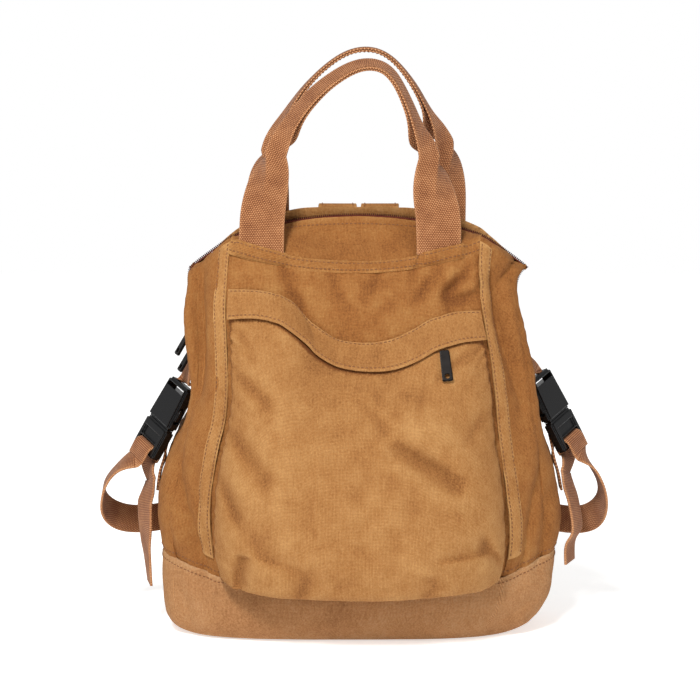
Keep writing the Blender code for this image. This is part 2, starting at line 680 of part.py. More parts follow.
def handle(name, face, grips):
    """A webbing handle: flat at its feet, doubled lengthwise over the arch."""
    hem = skin("front", 0.85, HEM_SEAM).z
    left_x, right_x = (grips[i].x * HANDLE_SPAN / 2 for i in (0, -1))
    foot_y = sum(foot_edges(face, right_x, 0.0), Vector()).y / 2
    centres, across, width, thick = [], [], [], []
    for grip in grips:
        height = hem + grip.rise * HANDLE_RISE
        centres.append(Vector((grip.x * HANDLE_SPAN / 2, foot_y * (1 - grip.back), height)))
    path, places = smooth_points(centres, 2)
    for i, place in enumerate(places):
        grip = mixed(grips, place)
        along = (path[min(i + 1, len(path) - 1)] - path[max(i - 1, 0)]).normalized()
        outward = Vector((0, 1, 0)).cross(along).normalized()
        turn = math.radians(grip.turn)
        towards = Vector((0, -1, 0)) * math.sin(turn) + outward * math.cos(turn)
        across.append((towards - along * towards.dot(along)).normalized())
        width.append(HANDLE_WEBBING * grip.width)
        thick.append(WEBBING_THICK * (1 + 1.2 * min(max(grip.fold, 0), 1)))
    lefts = [p - a * w / 2 for p, a, w in zip(path, across, width)]
    rights = [p + a * w / 2 for p, a, w in zip(path, across, width)]
    for index, x in ((0, left_x), (-1, right_x)):
        for drop in (0.0,) if face == "front" else (0.0, 0.5, 1.0):
            pair = sorted(foot_edges(face, x, drop), key=lambda point: (point - lefts[index]).length)
            at = 0 if index == 0 else len(lefts)
            lefts.insert(at, pair[0])
            rights.insert(at, pair[1])
            thick.insert(at, WEBBING_THICK)
    ribbon(name, lefts, rights, thick)


def buckle_frame(side):
    """Origin at the joint of socket and plug; axes across, along towards the plug, outwards."""
    hang = SIDES[side]
    tilt, face = math.radians(hang.tilt), math.radians(BUCKLE_FACE)
    along = Vector((side * math.sin(tilt), 0, -math.cos(tilt)))
    out = Vector((side * math.cos(tilt), 0, math.sin(tilt)))
    normal = out * math.cos(face) + Vector((0, -1, 0)) * math.sin(face)
    frame = Matrix((along.cross(normal), along, normal)).transposed().to_4x4()
    frame.translation = Vector((side * hang.out * HALF_WIDTH, BUCKLE_BACK, hang.rise * BODY_HEIGHT))
    return frame


def block(name, size, centre, finish=None, cutter=False, bevel=0.0):
    """A box by its size and centre, with rounded edges where asked."""
    shaping = bmesh.new()
    bmesh.ops.create_cube(shaping, size=1.0)
    bmesh.ops.scale(shaping, vec=size, verts=shaping.verts)
    bmesh.ops.translate(shaping, vec=centre, verts=shaping.verts)
    if bevel:
        bmesh.ops.bevel(shaping, geom=shaping.edges[:], offset=bevel, segments=2, affect="EDGES")
    mesh = bpy.data.meshes.new(name)
    shaping.to_mesh(mesh)
    shaping.free()
    made = bpy.data.objects.new(name, mesh)
    if cutter:
        made.hide_render = True
        made.display_type = "WIRE"
        CUTTERS.objects.link(made)
    else:
        mesh.materials.append(material(finish))
        PARTS.objects.link(made)
    return made


def combine(target, other, operation):
    change = target.modifiers.new(f"{operation.lower()}_{other.name}", "BOOLEAN")
    change.operation = operation
    change.object = other
    change.solver = "EXACT"


def tapered(made, share, low, high):
    """Narrows a mesh's width evenly along its length from low to high."""
    for corner in made.data.vertices:
        way = min(max((corner.co.y - low) / (high - low), 0.0), 1.0)
        corner.co.x *= 1 + (share - 1) * way


def buckle(side):
    """A side-release buckle, fastened: the socket above, the plug below, one solid each."""
    word = SIDES[side].word
    frame = buckle_frame(side)
    wide, deep = BUCKLE_WIDTH, BUCKLE_THICK
    slot = STRAP_WEBBING + 0.0015
    socket = block(
        f"buckle_socket_{word}",
        (wide, SOCKET_LENGTH, deep),
        (0, -SOCKET_LENGTH / 2, 0),
        "buckle_plastic",
        bevel=0.0022,
    )
    tapered(socket, 0.86, -SOCKET_LENGTH * 0.55, -SOCKET_LENGTH)
    mouth = block(
        f"socket_mouth_{word}", (wide * 0.72, 0.052, deep * 0.54), (0, 0, 0), cutter=True
    )
    strap_slot = block(
        f"socket_slot_{word}", (slot, 0.0042, deep * 2), (0, -SOCKET_LENGTH + 0.0055, 0), cutter=True
    )
    window = block(
        f"socket_window_{word}",
        (wide * 1.5, 0.0150, deep * 0.54),
        (0, -0.0145, 0),
        cutter=True,
        bevel=0.0012,
    )
    for cut in (mouth, strap_slot, window):
        combine(socket, cut, "DIFFERENCE")
    plug = block(
        f"buckle_plug_{word}",
        (wide, PLUG_LENGTH, deep * 0.92),
        (0, PLUG_LENGTH / 2 + BUCKLE_CLEAR, 0),
        "buckle_plastic",
        bevel=0.0020,
    )
    tongue = block(
        f"plug_tongue_{word}",
        (wide * 0.72 - 2 * BUCKLE_CLEAR, 0.0250, deep * 0.54 - 2 * BUCKLE_CLEAR),
        (0, -0.0085, 0),
        cutter=True,
    )
    prongs = block(
        f"plug_prongs_{word}",
        (wide * 0.97, 0.0120, deep * 0.54 - 2 * BUCKLE_CLEAR),
        (0, -0.0146, 0),
        cutter=True,
        bevel=0.0010,
    )
    ladder = block(f"plug_slot_{word}", (slot, 0.0075, deep * 2), (0, PLUG_LENGTH - 0.0075, 0), cutter=True)
    recess = block(
        f"plug_recess_{word}",
        (slot, 0.0085, deep * 0.5),
        (0, PLUG_LENGTH - 0.0165, deep * 0.52),
        cutter=True,
    )
    combine(plug, tongue, "UNION")
    combine(plug, prongs, "UNION")
    combine(plug, ladder, "DIFFERENCE")
    combine(plug, recess, "DIFFERENCE")
    for piece in (socket, plug, mouth, strap_slot, window, tongue, prongs, ladder, recess):
        piece.matrix_world = frame
    return frame


def run_points(side, rows):
    centres, widths = [], []
    for row in rows:
        x = side * (row.x * HALF_WIDTH + row.reach * LOOP_REACH)
        centres.append(Vector((x, row.y * HALF_DEPTH, row.rise * BODY_HEIGHT)))
        widths.append(Vector((side * row.width_x, row.width_y, row.width_z)))
    return centres, widths


def strap(name, path, turns, width, thick, finish="webbing"):
    """Webbing along a path, its width laid in the given directions."""
    lefts, rights = [], []
    for i, (point, turn) in enumerate(zip(path, turns)):
        along = (path[min(i + 1, len(path) - 1)] - path[max(i - 1, 0)]).normalized()
        across = (turn - along * turn.dot(along)).normalized() * width / 2
        lefts.append(point - across)
        rights.append(point + across)
    ribbon(name, lefts, rights, [thick] * len(path), finish)


def smooth_strap(name, centres, widths, width, thick, pieces, finish="webbing"):
    path = smooth_points(centres, pieces)[0]
    strap(name, path, smooth_points(widths, pieces)[0], width, thick, finish)
    return path


def shoulder_strap(side, frame):
    word = SIDES[side].word
    lift = LAY_GAP + BAND_THICK / 2
    levels = [BACK_EDGE + step for step in (0.75, 0.4, 0.0, -0.3)]
    start = []
    for level, ease in zip(levels, (0.0000, 0.0006, 0.0016, 0.0016)):
        start.append(on_skin("back", side * 0.26, level, lift + ease))
    centres, widths = run_points(side, BAND_RUN)
    widths = [Vector((side, 0, 0))] * len(start) + widths
    name = f"shoulder_band_{word}"
    band = smooth_strap(name, start + centres, widths, BAND_WIDTH, BAND_THICK, 2, "canvas")
    behind = Vector((0, BAND_THICK / 2 + WEBBING_THICK / 2 + LAY_GAP, 0))
    loop, loop_widths = run_points(side, SIDES[side].loop)
    turn = widths[-2]
    out = BUCKLE_THICK * 0.46 + WRAP
    flat = frame.to_3x3() @ Vector((-side, 0, 0))
    entry = frame @ Vector((0, PLUG_LENGTH + 0.012, out))
    path = smooth_points([band[-3] + behind, band[-1] + behind] + loop + [entry], 3)[0]
    turns = smooth_points([turn, turn] + loop_widths + [flat], 3)[0]
    for step, share in STRAP_WRAP:
        path.append(frame @ Vector((0, PLUG_LENGTH + step, out * share)))
        turns.append(flat)
    tail, tail_widths = run_points(side, SIDES[side].tail)
    path += smooth_points(tail, 2)[0]
    turns += smooth_points(tail_widths, 2)[0]
    strap(f"shoulder_webbing_{word}", path, turns, STRAP_WEBBING, WEBBING_THICK)


def side_point(side, level, middle, reach):
    """A point over the side at a level, clear of the skin for this reach either way in depth."""
    faces = ("front", "back")
    places = [skin(face, side * across, level) for face in faces for across in between(2.2, 3, 9)]
    proud = max(side * place.x for place in places if abs(place.y - middle) < reach)
    return Vector((side * (proud + 2 * LAY_GAP + WEBBING_THICK / 2), middle, places[-1].z))


def upper_tab(side, frame):
    """Short webbing that ties the socket to the gusset."""
    across = frame.to_3x3() @ Vector((-side, 0, 0))
    root = side_point(side, 9.8, 0.0, STRAP_WEBBING / 2) + Vector((side * LAY_GAP, 0, 0))
    path = [frame @ Vector((0, -SOCKET_LENGTH - WRAP * step, 0)) for step in (0.9, 3.5)] + [root]
    turns = [across, across.lerp(Vector((0, 1, 0)), 0.4), Vector((0, 1, 0))]
    strap(f"buckle_tab_{SIDES[side].word}", path, turns, STRAP_WEBBING * 0.9, WEBBING_THICK)


def anchor_tab(side, frame):
    """The short webbing between the plug's inner face and the bag's side."""
    middle = BUCKLE_BACK + 0.003
    low = [side_point(side, level, middle, STRAP_WEBBING / 2) for level in (5.5, 6.0, 6.4)]
    top = frame @ Vector((0, PLUG_LENGTH * 0.30, -BUCKLE_THICK / 2 - WRAP * 2.4))
    turns = [Vector((0, 1, 0))] * 3 + [frame.to_3x3() @ Vector((-side, 0, 0))]
    name = f"anchor_tab_{SIDES[side].word}"
    smooth_strap(name, low + [top], turns, STRAP_WEBBING * 0.7, WEBBING_THICK, 2)


def ridge_zip():
    """Tape and teeth of the main zip, over the top and down both sides in the slot."""
    stretch = between(ZIP_END + 0.58, RIDGE, 13)
    path = [(-3.0, level) for level in stretch[:-1]]
    path += [(across, float(RIDGE)) for across in between(-3, 3, 31)]
    path += [(3.0, level) for level in stretch[-2::-1]]
    points, faces = [], []
    line = [skin("front", *place) for place in path]
    tooth, rear, front = ZIP_TEETH / 2, -ZIP_THICK * 2, -ZIP_THICK
    for i, (point, place) in enumerate(zip(line, path)):
        along = line[min(i + 1, len(line) - 1)] - line[max(i - 1, 0)]
        out = Vector((-along.z, 0, along.x)).normalized()
        tape = ZIP_SLOT / 2 - SEAM_GAP if abs(place[0]) == 3 and place[1] < HEM_SEAM - 0.5 else ZIP_TAPE / 2
        profile = ((-tape, rear), (tape, rear), (tape, front), (tooth, front))
        profile += ((tooth, ZIP_THICK), (-tooth, ZIP_THICK), (-tooth, front), (-tape, front))
        points += [Vector((point.x, w, point.z)) + out * h for w, h in profile]
    count = 8
    for i in range(len(line) - 1):
        for j in range(count):
            a, b = count * i + j, count * i + (j + 1) % count
            faces.append((a, b, b + count, a + count))
    faces.append(tuple(range(count)))
    faces.append(tuple(range(len(points) - count, len(points))))
    link_mesh("main_zip", points, faces, "zip_tape")


def pull_tab(name, place, down, out):
    """A flat zip pull with a hole at its lower end, hung from its slider."""
    across = down.cross(out).normalized()
    out = across.cross(down).normalized()
    size = (PULL_WIDTH, PULL_LENGTH, PULL_THICK)
    tab = block(name, size, (0, PULL_LENGTH / 2, 0), "pull_metal", bevel=0.0007)
    tapered(tab, 0.72, PULL_LENGTH * 0.45, 0.0)
    tapered(tab, 0.80, PULL_LENGTH * 0.86, PULL_LENGTH)
    shaping = bmesh.new()
    bmesh.ops.create_cone(
        shaping,
        cap_ends=True,
        segments=12,
        radius1=PULL_WIDTH * 0.2,
        radius2=PULL_WIDTH * 0.2,
        depth=PULL_THICK * 3,
    )
    bmesh.ops.translate(shaping, vec=(0, PULL_LENGTH * 0.84, 0), verts=shaping.verts)
    mesh = bpy.data.meshes.new(f"{name}_hole")
    shaping.to_mesh(mesh)
    shaping.free()
    hole = bpy.data.objects.new(f"{name}_hole", mesh)
    hole.hide_render = True
    hole.display_type = "WIRE"
    CUTTERS.objects.link(hole)
    combine(tab, hole, "DIFFERENCE")
    frame = Matrix((across, down.normalized(), out)).transposed().to_4x4()
    frame.translation = place
    tab.matrix_world = frame
    hole.matrix_world = frame


def slider(name, place, down, out):
    """A zip's slider, a small domed block under its pull."""
    across = down.cross(out).normalized()
    out = across.cross(down).normalized()
    body = block(name, (0.0072, 0.0085, SLIDER_THICK), (0, 0, 0), "pull_metal", bevel=0.0008)
    frame = Matrix((across, down.normalized(), out)).transposed().to_4x4()
    frame.translation = place
    body.matrix_world = frame


def pocket_pull():
    """The pocket zip's dark pull, which lies on the pouch below the band."""
    share, row = 0.66, 10.45
    surface = pouch(share, row)
    normal = pouch_normal(share, row)
    lower = pouch(share, row - 1.5)
    down = (lower - surface).normalized()
    place = surface + normal * (PULL_THICK / 2 + 0.0012)
    pull_tab("pocket_pull", place, down, normal)


def side_pulls():
    """Two pulls of the main zip, run down to its left end."""
    for name, level in (("side_pull_upper", 10.55), ("side_pull_lower", 10.12)):
        high, low = skin("front", -3, level + 0.2), skin("front", -3, level - 0.2)
        down = Vector((low.x - high.x, 0, low.z - high.z)).normalized()
        out = Vector((down.z, 0, -down.x))
        seat = (high + low) / 2 + out * (0.0008 + LAY_GAP + SLIDER_THICK / 2)
        seat.y = 0
        slider(f"{name}_slider", seat, down, out)
        hang = seat + out * (SLIDER_THICK / 2 + PULL_THICK * 0.8)
        pull_tab(name, hang, Vector((-0.50, -0.10, -0.86)).normalized(), Vector((-0.75, -0.42, 0.50)))


def build():
    base_tub()
    body_panels()
    felled_seams()
    top_hem()
    pocket()
    zip_band()
    handle("handle_front", "front", FRONT_GRIP)
    handle("handle_back", "back", BACK_GRIP)
    ridge_zip()
    for side in SIDES:
        frame = buckle(side)
        upper_tab(side, frame)
        shoulder_strap(side, frame)
        anchor_tab(side, frame)
    pocket_pull()
    side_pulls()


build()
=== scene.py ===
# %% [markdown]
# # A washed canvas backpack
# This lesson dresses a packed, plain model of a backpack in its real cloth. The plain model is the
# frame: it gives the sizes and carries the motion, and nothing here moves it. Each step explains
# what a piece is on the real bag, how it could be made, and why it is made as it is.
# Everything is in metres, the front faces -Y, and the bag stands on the floor at z = 0.

# %% Load the frame
import json
import math
from collections import namedtuple

import bmesh
import bpy
import numpy as np
from mathutils import Matrix, Vector
from mathutils.bvhtree import BVHTree

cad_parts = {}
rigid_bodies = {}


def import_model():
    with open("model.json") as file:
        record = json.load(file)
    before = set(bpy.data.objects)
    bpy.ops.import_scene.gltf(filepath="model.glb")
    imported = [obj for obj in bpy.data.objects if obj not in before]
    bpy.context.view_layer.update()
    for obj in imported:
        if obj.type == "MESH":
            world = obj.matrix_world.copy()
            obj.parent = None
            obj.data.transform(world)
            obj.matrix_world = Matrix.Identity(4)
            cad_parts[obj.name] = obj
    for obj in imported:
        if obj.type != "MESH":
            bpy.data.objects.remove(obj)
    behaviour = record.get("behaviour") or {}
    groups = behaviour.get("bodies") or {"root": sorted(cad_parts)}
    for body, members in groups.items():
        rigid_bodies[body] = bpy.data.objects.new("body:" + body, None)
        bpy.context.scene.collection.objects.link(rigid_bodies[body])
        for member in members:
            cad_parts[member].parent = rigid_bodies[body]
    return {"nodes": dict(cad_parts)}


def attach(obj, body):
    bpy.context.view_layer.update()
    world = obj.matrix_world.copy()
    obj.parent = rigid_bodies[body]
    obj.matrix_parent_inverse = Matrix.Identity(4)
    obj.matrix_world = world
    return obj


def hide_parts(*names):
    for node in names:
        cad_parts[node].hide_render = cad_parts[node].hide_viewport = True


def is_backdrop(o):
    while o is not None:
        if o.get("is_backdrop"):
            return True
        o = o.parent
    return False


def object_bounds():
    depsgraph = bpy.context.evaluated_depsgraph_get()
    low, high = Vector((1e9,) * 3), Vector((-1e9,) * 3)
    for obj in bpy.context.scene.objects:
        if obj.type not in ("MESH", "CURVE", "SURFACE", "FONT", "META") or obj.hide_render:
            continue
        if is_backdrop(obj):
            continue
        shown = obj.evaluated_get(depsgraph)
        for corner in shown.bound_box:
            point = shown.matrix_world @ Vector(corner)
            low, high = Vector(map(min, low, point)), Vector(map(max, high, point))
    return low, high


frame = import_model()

cad_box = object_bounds()
print("frame box", [round(v, 4) for corner in cad_box for v in corner])

# %% [markdown]
# ## The camera
# The photograph was taken from a little above the middle of the bag, from far enough away that
# the sides hardly converge. So the camera is a long lens, 1.7 m off, eight degrees above level.
# The lens is worked out from the width that the picture spans at the bag's middle.

# %% Camera
VIEW_TARGET = Vector((0.0, 0.0, 0.25))
VIEW_DISTANCE = 1.7
VIEW_ABOVE = math.radians(8.0)
VIEW_SPAN = 0.609
VIEW_SHIFT = (-0.0100, -0.0075)


def placed(name, data):
    """A new object in the scene for a mesh, a lamp or a lens."""
    made = bpy.data.objects.new(name, data)
    bpy.context.scene.collection.objects.link(made)
    return made


def make_camera():
    lens = bpy.data.cameras.new("camera")
    lens.sensor_width = 36.0
    lens.lens = lens.sensor_width * VIEW_DISTANCE / VIEW_SPAN
    lens.shift_x, lens.shift_y = VIEW_SHIFT
    camera = placed("camera", lens)
    away = Vector((0, -math.cos(VIEW_ABOVE), math.sin(VIEW_ABOVE)))
    camera.location = VIEW_TARGET + away * VIEW_DISTANCE
    camera.rotation_euler = (-away).to_track_quat("-Z", "Y").to_euler()
    bpy.context.scene.camera = camera
    print("camera lens", round(lens.lens, 1), "mm")


make_camera()

# %% [markdown]
# ## The skin of the bag
# A real bag is cut flat and sewn, and then it slumps. Its panels meet at seams, so they have to
# agree there to a fraction of a millimetre. The simplest way to get that is to describe the
# slumped bag once, as a loft through rings, and to cut every panel out of that one skin.
# The rings are a table: each row is a height, and its columns are shares of the driving sizes.

# %% Driving sizes
BODY_HEIGHT = 0.362
HALF_WIDTH = 0.350 / 2
HALF_DEPTH = 0.140 / 2
CANVAS = 0.0018
LAY_GAP = 0.0005
ZIP_SLOT = 0.0100
FRONT_SEAMS = (0.72, 0.93)
BACK_SEAMS = (0.50, 0.88)
TUCK_SPREAD = 0.34
BASE_SEAM, HEM_SEAM, BACK_EDGE, RIDGE = 4, 13, 14, 15
ZIP_END = 9.0
# Levels over which the zip's slot opens, and over which folds fade below the zip and at the floor
SLOT_OPENS, FOLDS_END, FOLDS_START = 0.4, 0.8, 1.5
# The ridge is too thin to give its own direction, so it is taken to be at least this deep
LEAST_HALF = 0.02

Section = namedtuple(
    "Section", "front_rise back_rise seam_rise side_rise width front back square tuck shift"
)
SECTIONS = (
    Section(0.000, 0.000, 0.000, 0.000, 0.790, 0.700, 0.700, 3.4, 0.00, -0.045),
    Section(0.010, 0.010, 0.010, 0.012, 0.875, 0.830, 0.820, 3.3, 0.00, -0.040),
    Section(0.038, 0.038, 0.038, 0.044, 0.940, 0.920, 0.900, 3.3, 0.00, -0.024),
    Section(0.092, 0.096, 0.096, 0.112, 0.980, 0.960, 0.930, 3.3, 0.00, 0.000),
    Section(0.142, 0.155, 0.156, 0.203, 0.988, 0.940, 0.930, 3.3, 0.00, 0.012),
    Section(0.240, 0.250, 0.256, 0.290, 1.010, 1.020, 0.970, 3.3, 0.00, 0.015),
    Section(0.358, 0.358, 0.358, 0.374, 0.992, 1.030, 0.970, 3.2, 0.00, 0.010),
    Section(0.464, 0.464, 0.464, 0.470, 0.945, 1.000, 0.940, 3.1, 0.06, 0.014),
    Section(0.530, 0.530, 0.530, 0.532, 0.912, 0.960, 0.900, 3.0, 0.16, 0.022),
    Section(0.597, 0.597, 0.597, 0.596, 0.894, 0.915, 0.860, 3.0, 0.26, 0.022),
    Section(0.685, 0.685, 0.685, 0.682, 0.880, 0.830, 0.800, 3.0, 0.25, 0.010),
    Section(0.785, 0.785, 0.785, 0.775, 0.862, 0.730, 0.700, 2.9, 0.18, -0.012),
    Section(0.845, 0.862, 0.872, 0.838, 0.844, 0.630, 0.580, 2.8, 0.11, -0.018),
    Section(0.900, 0.934, 0.952, 0.868, 0.840, 0.510, 0.450, 2.8, 0.06, -0.006),
    Section(0.952, 1.010, 0.958, 0.876, 0.836, 0.290, 0.310, 2.8, 0.02, 0.008),
    Section(1.000, 1.000, 0.955, 0.879, 0.834, 0.0714, 0.0714, 4.0, 0.00, 0.008),
)

# %% [markdown]
# Folds are drawn on the skin, each as a line with a width and a depth, because the eye
# knows this bag by them: the long hollow between the front strip and the side, the pinch at each
# shoulder, the dents above the floor. A negative depth is a valley. Sharp folds have a crease.

# %% Folds of the body
Fold = namedtuple("Fold", "face x rise x_end rise_end spread depth sharp")
FOLDS = (
    Fold("front", -0.74, 0.88, -0.80, 0.62, 0.070, -0.085, 2.0),
    Fold("front", -0.70, 0.80, -0.74, 0.40, 0.110, 0.040, 2.0),
    Fold("front", -0.88, 0.44, -0.84, 0.24, 0.070, -0.050, 2.0),
    Fold("front", 0.70, 0.84, 0.80, 0.52, 0.065, -0.070, 2.0),
    Fold("front", 0.76, 0.80, 0.88, 0.44, 0.080, 0.050, 2.0),
    Fold("front", 0.94, 0.48, 0.88, 0.22, 0.070, -0.045, 2.0),
    Fold("front", 0.76, 0.42, 0.84, 0.20, 0.080, -0.030, 2.0),
    Fold("front", -0.10, 0.955, 0.18, 0.925, 0.080, -0.040, 2.0),
    Fold("front", -0.80, 0.17, -0.62, 0.05, 0.120, -0.070, 2.0),
    Fold("front", 0.62, 0.05, 0.86, 0.13, 0.120, -0.050, 2.0),
    Fold("back", -0.70, 0.66, -0.20, 0.52, 0.100, -0.035, 2.0),
    Fold("back", 0.68, 0.60, 0.24, 0.44, 0.100, -0.035, 2.0),
    Fold("back", -0.50, 0.20, 0.40, 0.24, 0.110, -0.030, 2.0),
    Fold("front", -0.76, 0.86, -0.81, 0.60, 0.030, -0.120, 1.4),
    Fold("front", -0.84, 0.84, -0.90, 0.66, 0.045, 0.080, 2.0),
    Fold("front", -0.62, 0.88, -0.40, 0.84, 0.090, 0.048, 2.0),
    Fold("front", -0.35, 0.88, -0.21, 0.74, 0.035, -0.088, 1.4),
    Fold("front", -0.14, 0.89, -0.04, 0.80, 0.045, -0.040, 1.5),
    Fold("front", 0.44, 0.825, 0.54, 0.862, 0.022, -0.120, 1.6),
    Fold("front", 0.46, 0.806, 0.59, 0.826, 0.020, -0.110, 1.6),
    Fold("front", 0.40, 0.850, 0.52, 0.882, 0.026, 0.070, 1.8),
    Fold("front", 0.50, 0.832, 0.60, 0.850, 0.024, 0.080, 1.8),
    Fold("front", 0.32, 0.940, 0.28, 0.865, 0.018, -0.050, 1.6),
    Fold("front", 0.30, 0.815, 0.42, 0.860, 0.030, -0.060, 1.6),
    Fold("front", 0.67, 0.85, 0.72, 0.71, 0.026, -0.112, 1.4),
    Fold("front", 0.72, 0.71, 0.80, 0.56, 0.030, -0.096, 1.4),
    Fold("front", 0.80, 0.89, 0.70, 0.83, 0.025, -0.096, 1.4),
    Fold("front", -0.90, 0.37, -0.76, 0.17, 0.028, -0.096, 1.4),
    Fold("front", -0.80, 0.42, -0.74, 0.22, 0.030, -0.064, 1.5),
    Fold("front", -0.93, 0.52, -0.90, 0.36, 0.040, -0.056, 1.6),
    Fold("front", 0.90, 0.40, 0.80, 0.18, 0.028, -0.080, 1.4),
    Fold("front", 0.96, 0.36, 0.90, 0.18, 0.030, -0.064, 1.5),
    Fold("front", -0.26, 0.97, -0.03, 0.94, 0.035, -0.072, 1.5),
    Fold("front", 0.00, 0.96, 0.14, 0.93, 0.030, -0.056, 1.5),
    Fold("front", 0.30, 0.98, 0.44, 0.94, 0.035, -0.056, 1.5),
    Fold("front", -0.90, 0.12, -0.80, 0.03, 0.035, -0.080, 1.5),
    Fold("front", 0.70, 0.03, 0.90, 0.09, 0.040, -0.064, 1.5),
    Fold("back", -0.60, 0.80, -0.52, 0.44, 0.050, -0.045, 1.6),
    Fold("back", 0.58, 0.82, 0.50, 0.50, 0.050, -0.045, 1.6),
    Fold("back", -0.20, 0.36, 0.30, 0.30, 0.050, -0.045, 1.5),
    Fold("back", 0.80, 0.30, 0.66, 0.12, 0.050, -0.060, 1.5),
    Fold("back", -0.84, 0.34, -0.70, 0.14, 0.050, -0.060, 1.5),
)

# %% Reading a table between its rows


def cubic(share):
    """Four weights of a smooth curve through points, at a share of the way between two."""
    square, cube = share * share, share * share * share
    return (
        (-cube + 2 * square - share) / 2,
        (3 * cube - 5 * square + 2) / 2,
        (-3 * cube + 4 * square + share) / 2,
        (cube - square) / 2,
    )


def mixed(rows, place):
    """The columns of a table at places between its rows, on smooth curves through them."""
    table = np.array(rows, dtype=float)
    place = np.clip(np.asarray(place, dtype=float), 0, len(table) - 1)
    first = np.minimum(place.astype(int), len(table) - 2)
    parts = cubic((place - first)[..., None])
    rows_near = [table[np.clip(first + step, 0, len(table) - 1)] for step in (-1, 0, 1, 2)]
    values = sum(part * row for part, row in zip(parts, rows_near))
    return type(rows[0])(*np.moveaxis(values, -1, 0))


def sampled(grid, row, column):
    """A grid's values at places between its points, smooth both ways."""
    row = np.clip(row, 0, grid.shape[0] - 1)
    column = np.clip(column, 0, grid.shape[1] - 1)
    first_row, first_column = np.floor(row).astype(int), np.floor(column).astype(int)
    total = 0.0
    for i, along in enumerate(cubic(row - first_row)):
        near_row = np.clip(first_row + i - 1, 0, grid.shape[0] - 1)
        for j, sideways in enumerate(cubic(column - first_column)):
            near_column = np.clip(first_column + j - 1, 0, grid.shape[1] - 1)
            total = total + (along * sideways)[..., None] * grid[near_row, near_column]
    return total


# %% [markdown]
# A place on the skin has two numbers. Across counts seams: 0 is the middle, 1 the seam beside the
# pocket, 2 the corner and 3 the side, negative to the left. Level counts the table's rows, from
# the floor to the zip. Written for whole arrays, the skin gives a hundred thousand points at once.

# %% The skin


def corner_angle(share, square):
    return np.arctan2(share, (1 - share**square) ** (1 / square))


def ring_angle(face, across, square):
    shares = FRONT_SEAMS if face == "front" else BACK_SEAMS
    inner, outer = (corner_angle(share, square) for share in shares)
    place = np.minimum(np.abs(across), 3.0)
    one = inner * place
    two = inner + (outer - inner) * (place - 1)
    three = outer + (np.pi / 2 - outer) * (place - 2)
    return np.where(place < 1, one, np.where(place < 2, two, three))


def rise_at(face, section, share):
    middle = section.front_rise if face == "front" else section.back_rise
    bend = 2 if face == "front" else 3
    inner = middle + (section.seam_rise - middle) * (share / FRONT_SEAMS[0]) ** bend
    way = (share - FRONT_SEAMS[0]) / (1 - FRONT_SEAMS[0])
    outer = section.seam_rise + (section.side_rise - section.seam_rise) * way
    return np.where(share < FRONT_SEAMS[0], inner, outer)


def matched(one, other):
    """Two numbers or arrays as arrays of one shape."""
    return np.broadcast_arrays(np.asarray(one, float), np.asarray(other, float))


def bell(gap, spread):
    """1 where the gap is nought, and falling away on both sides over the spread."""
    return np.exp(-((gap / spread) ** 2))


def unit(vectors):
    return vectors / np.maximum(np.linalg.norm(vectors, axis=-1, keepdims=True), 1e-12)


def fold_depth(folds, across, along, face=None):
    """Summed depth of the folds at places, as the tables' shares."""
    total = np.zeros(np.broadcast(across, along).shape)
    for fold in folds:
        if face and fold[0] != face:
            continue
        x1, y1, x2, y2, spread, depth, sharp = fold[-7:]
        dx, dy = x2 - x1, y2 - y1
        way = ((across - x1) * dx + (along - y1) * dy) / (dx * dx + dy * dy)
        way = np.clip(way, 0.0, 1.0)
        gap = np.hypot(across - x1 - way * dx, along - y1 - way * dy) / spread
        # A fold has a good half of its depth at its ends and all of it in its middle
        strength = 0.35 + 0.65 * np.sin(np.pi * (0.12 + 0.76 * way))
        total += depth * strength * np.exp(-(gap**sharp))
    return total


def skin(face, across, level):
    """Points of the bag's outer face, with its drawn folds."""
    across, level = matched(across, level)
    section = mixed(SECTIONS, level)
    square = section.square
    angle = ring_angle(face, across, square)
    sine, cosine = np.sin(angle), np.cos(angle)
    reach = (sine**square + np.abs(cosine) ** square) ** (-1 / square)
    share = np.minimum(reach * sine, 1.0)
    depth_share = np.maximum(reach * cosine, 0.0)
    slot = ZIP_SLOT / 2 * np.clip((level - ZIP_END) / SLOT_OPENS, 0.0, 1.0)
    half = np.maximum((section.front if face == "front" else section.back) * HALF_DEPTH, slot)
    depth = slot + (half - slot) * depth_share
    tuck = section.tuck * HALF_DEPTH * bell(depth, TUCK_SPREAD * HALF_DEPTH)
    width = section.width * HALF_WIDTH
    rise = rise_at(face, section, share) * BODY_HEIGHT
    out_x = share ** (square - 1) / width
    out_y = depth_share ** (square - 1) / np.maximum(half, LEAST_HALF)
    length = np.hypot(out_x, out_y)
    sign = np.where(across < 0, -1.0, 1.0)
    fold = fold_depth(FOLDS, sign * share * width / HALF_WIDTH, rise / BODY_HEIGHT, face)
    fade = np.minimum(1.0, (RIDGE - level) / FOLDS_END) * np.minimum(1.0, level / FOLDS_START)
    lifted = fold * HALF_DEPTH * fade
    x = sign * (share * width - tuck * share**4 + out_x / length * lifted)
    y = depth + out_y / length * lifted
    x = x + section.shift * HALF_WIDTH
    return np.stack([x, -y if face == "front" else y, rise], axis=-1)


def skin_normal(face, across, level, step=0.03):
    across, level = matched(across, level)
    low, high = np.maximum(level - step, 0.0), np.minimum(level + step, RIDGE)
    left, right = np.maximum(across - step, -3.0), np.minimum(across + step, 3.0)
    sideways = skin(face, right, level) - skin(face, left, level)
    upwards = skin(face, across, high) - skin(face, across, low)
    normal = unit(np.cross(sideways, upwards))
    return normal if face == "front" else -normal


def found(function, target, low, high, halvings=24):
    """Where a rising function reaches a target, by halving, for whole arrays."""
    low = np.full(np.shape(target), float(low))
    high = np.full(np.shape(target), float(high))
    for _ in range(halvings):
        middle = (low + high) / 2
        below = function(middle) < target
        low, high = np.where(below, middle, low), np.where(below, high, middle)
    return (low + high) / 2


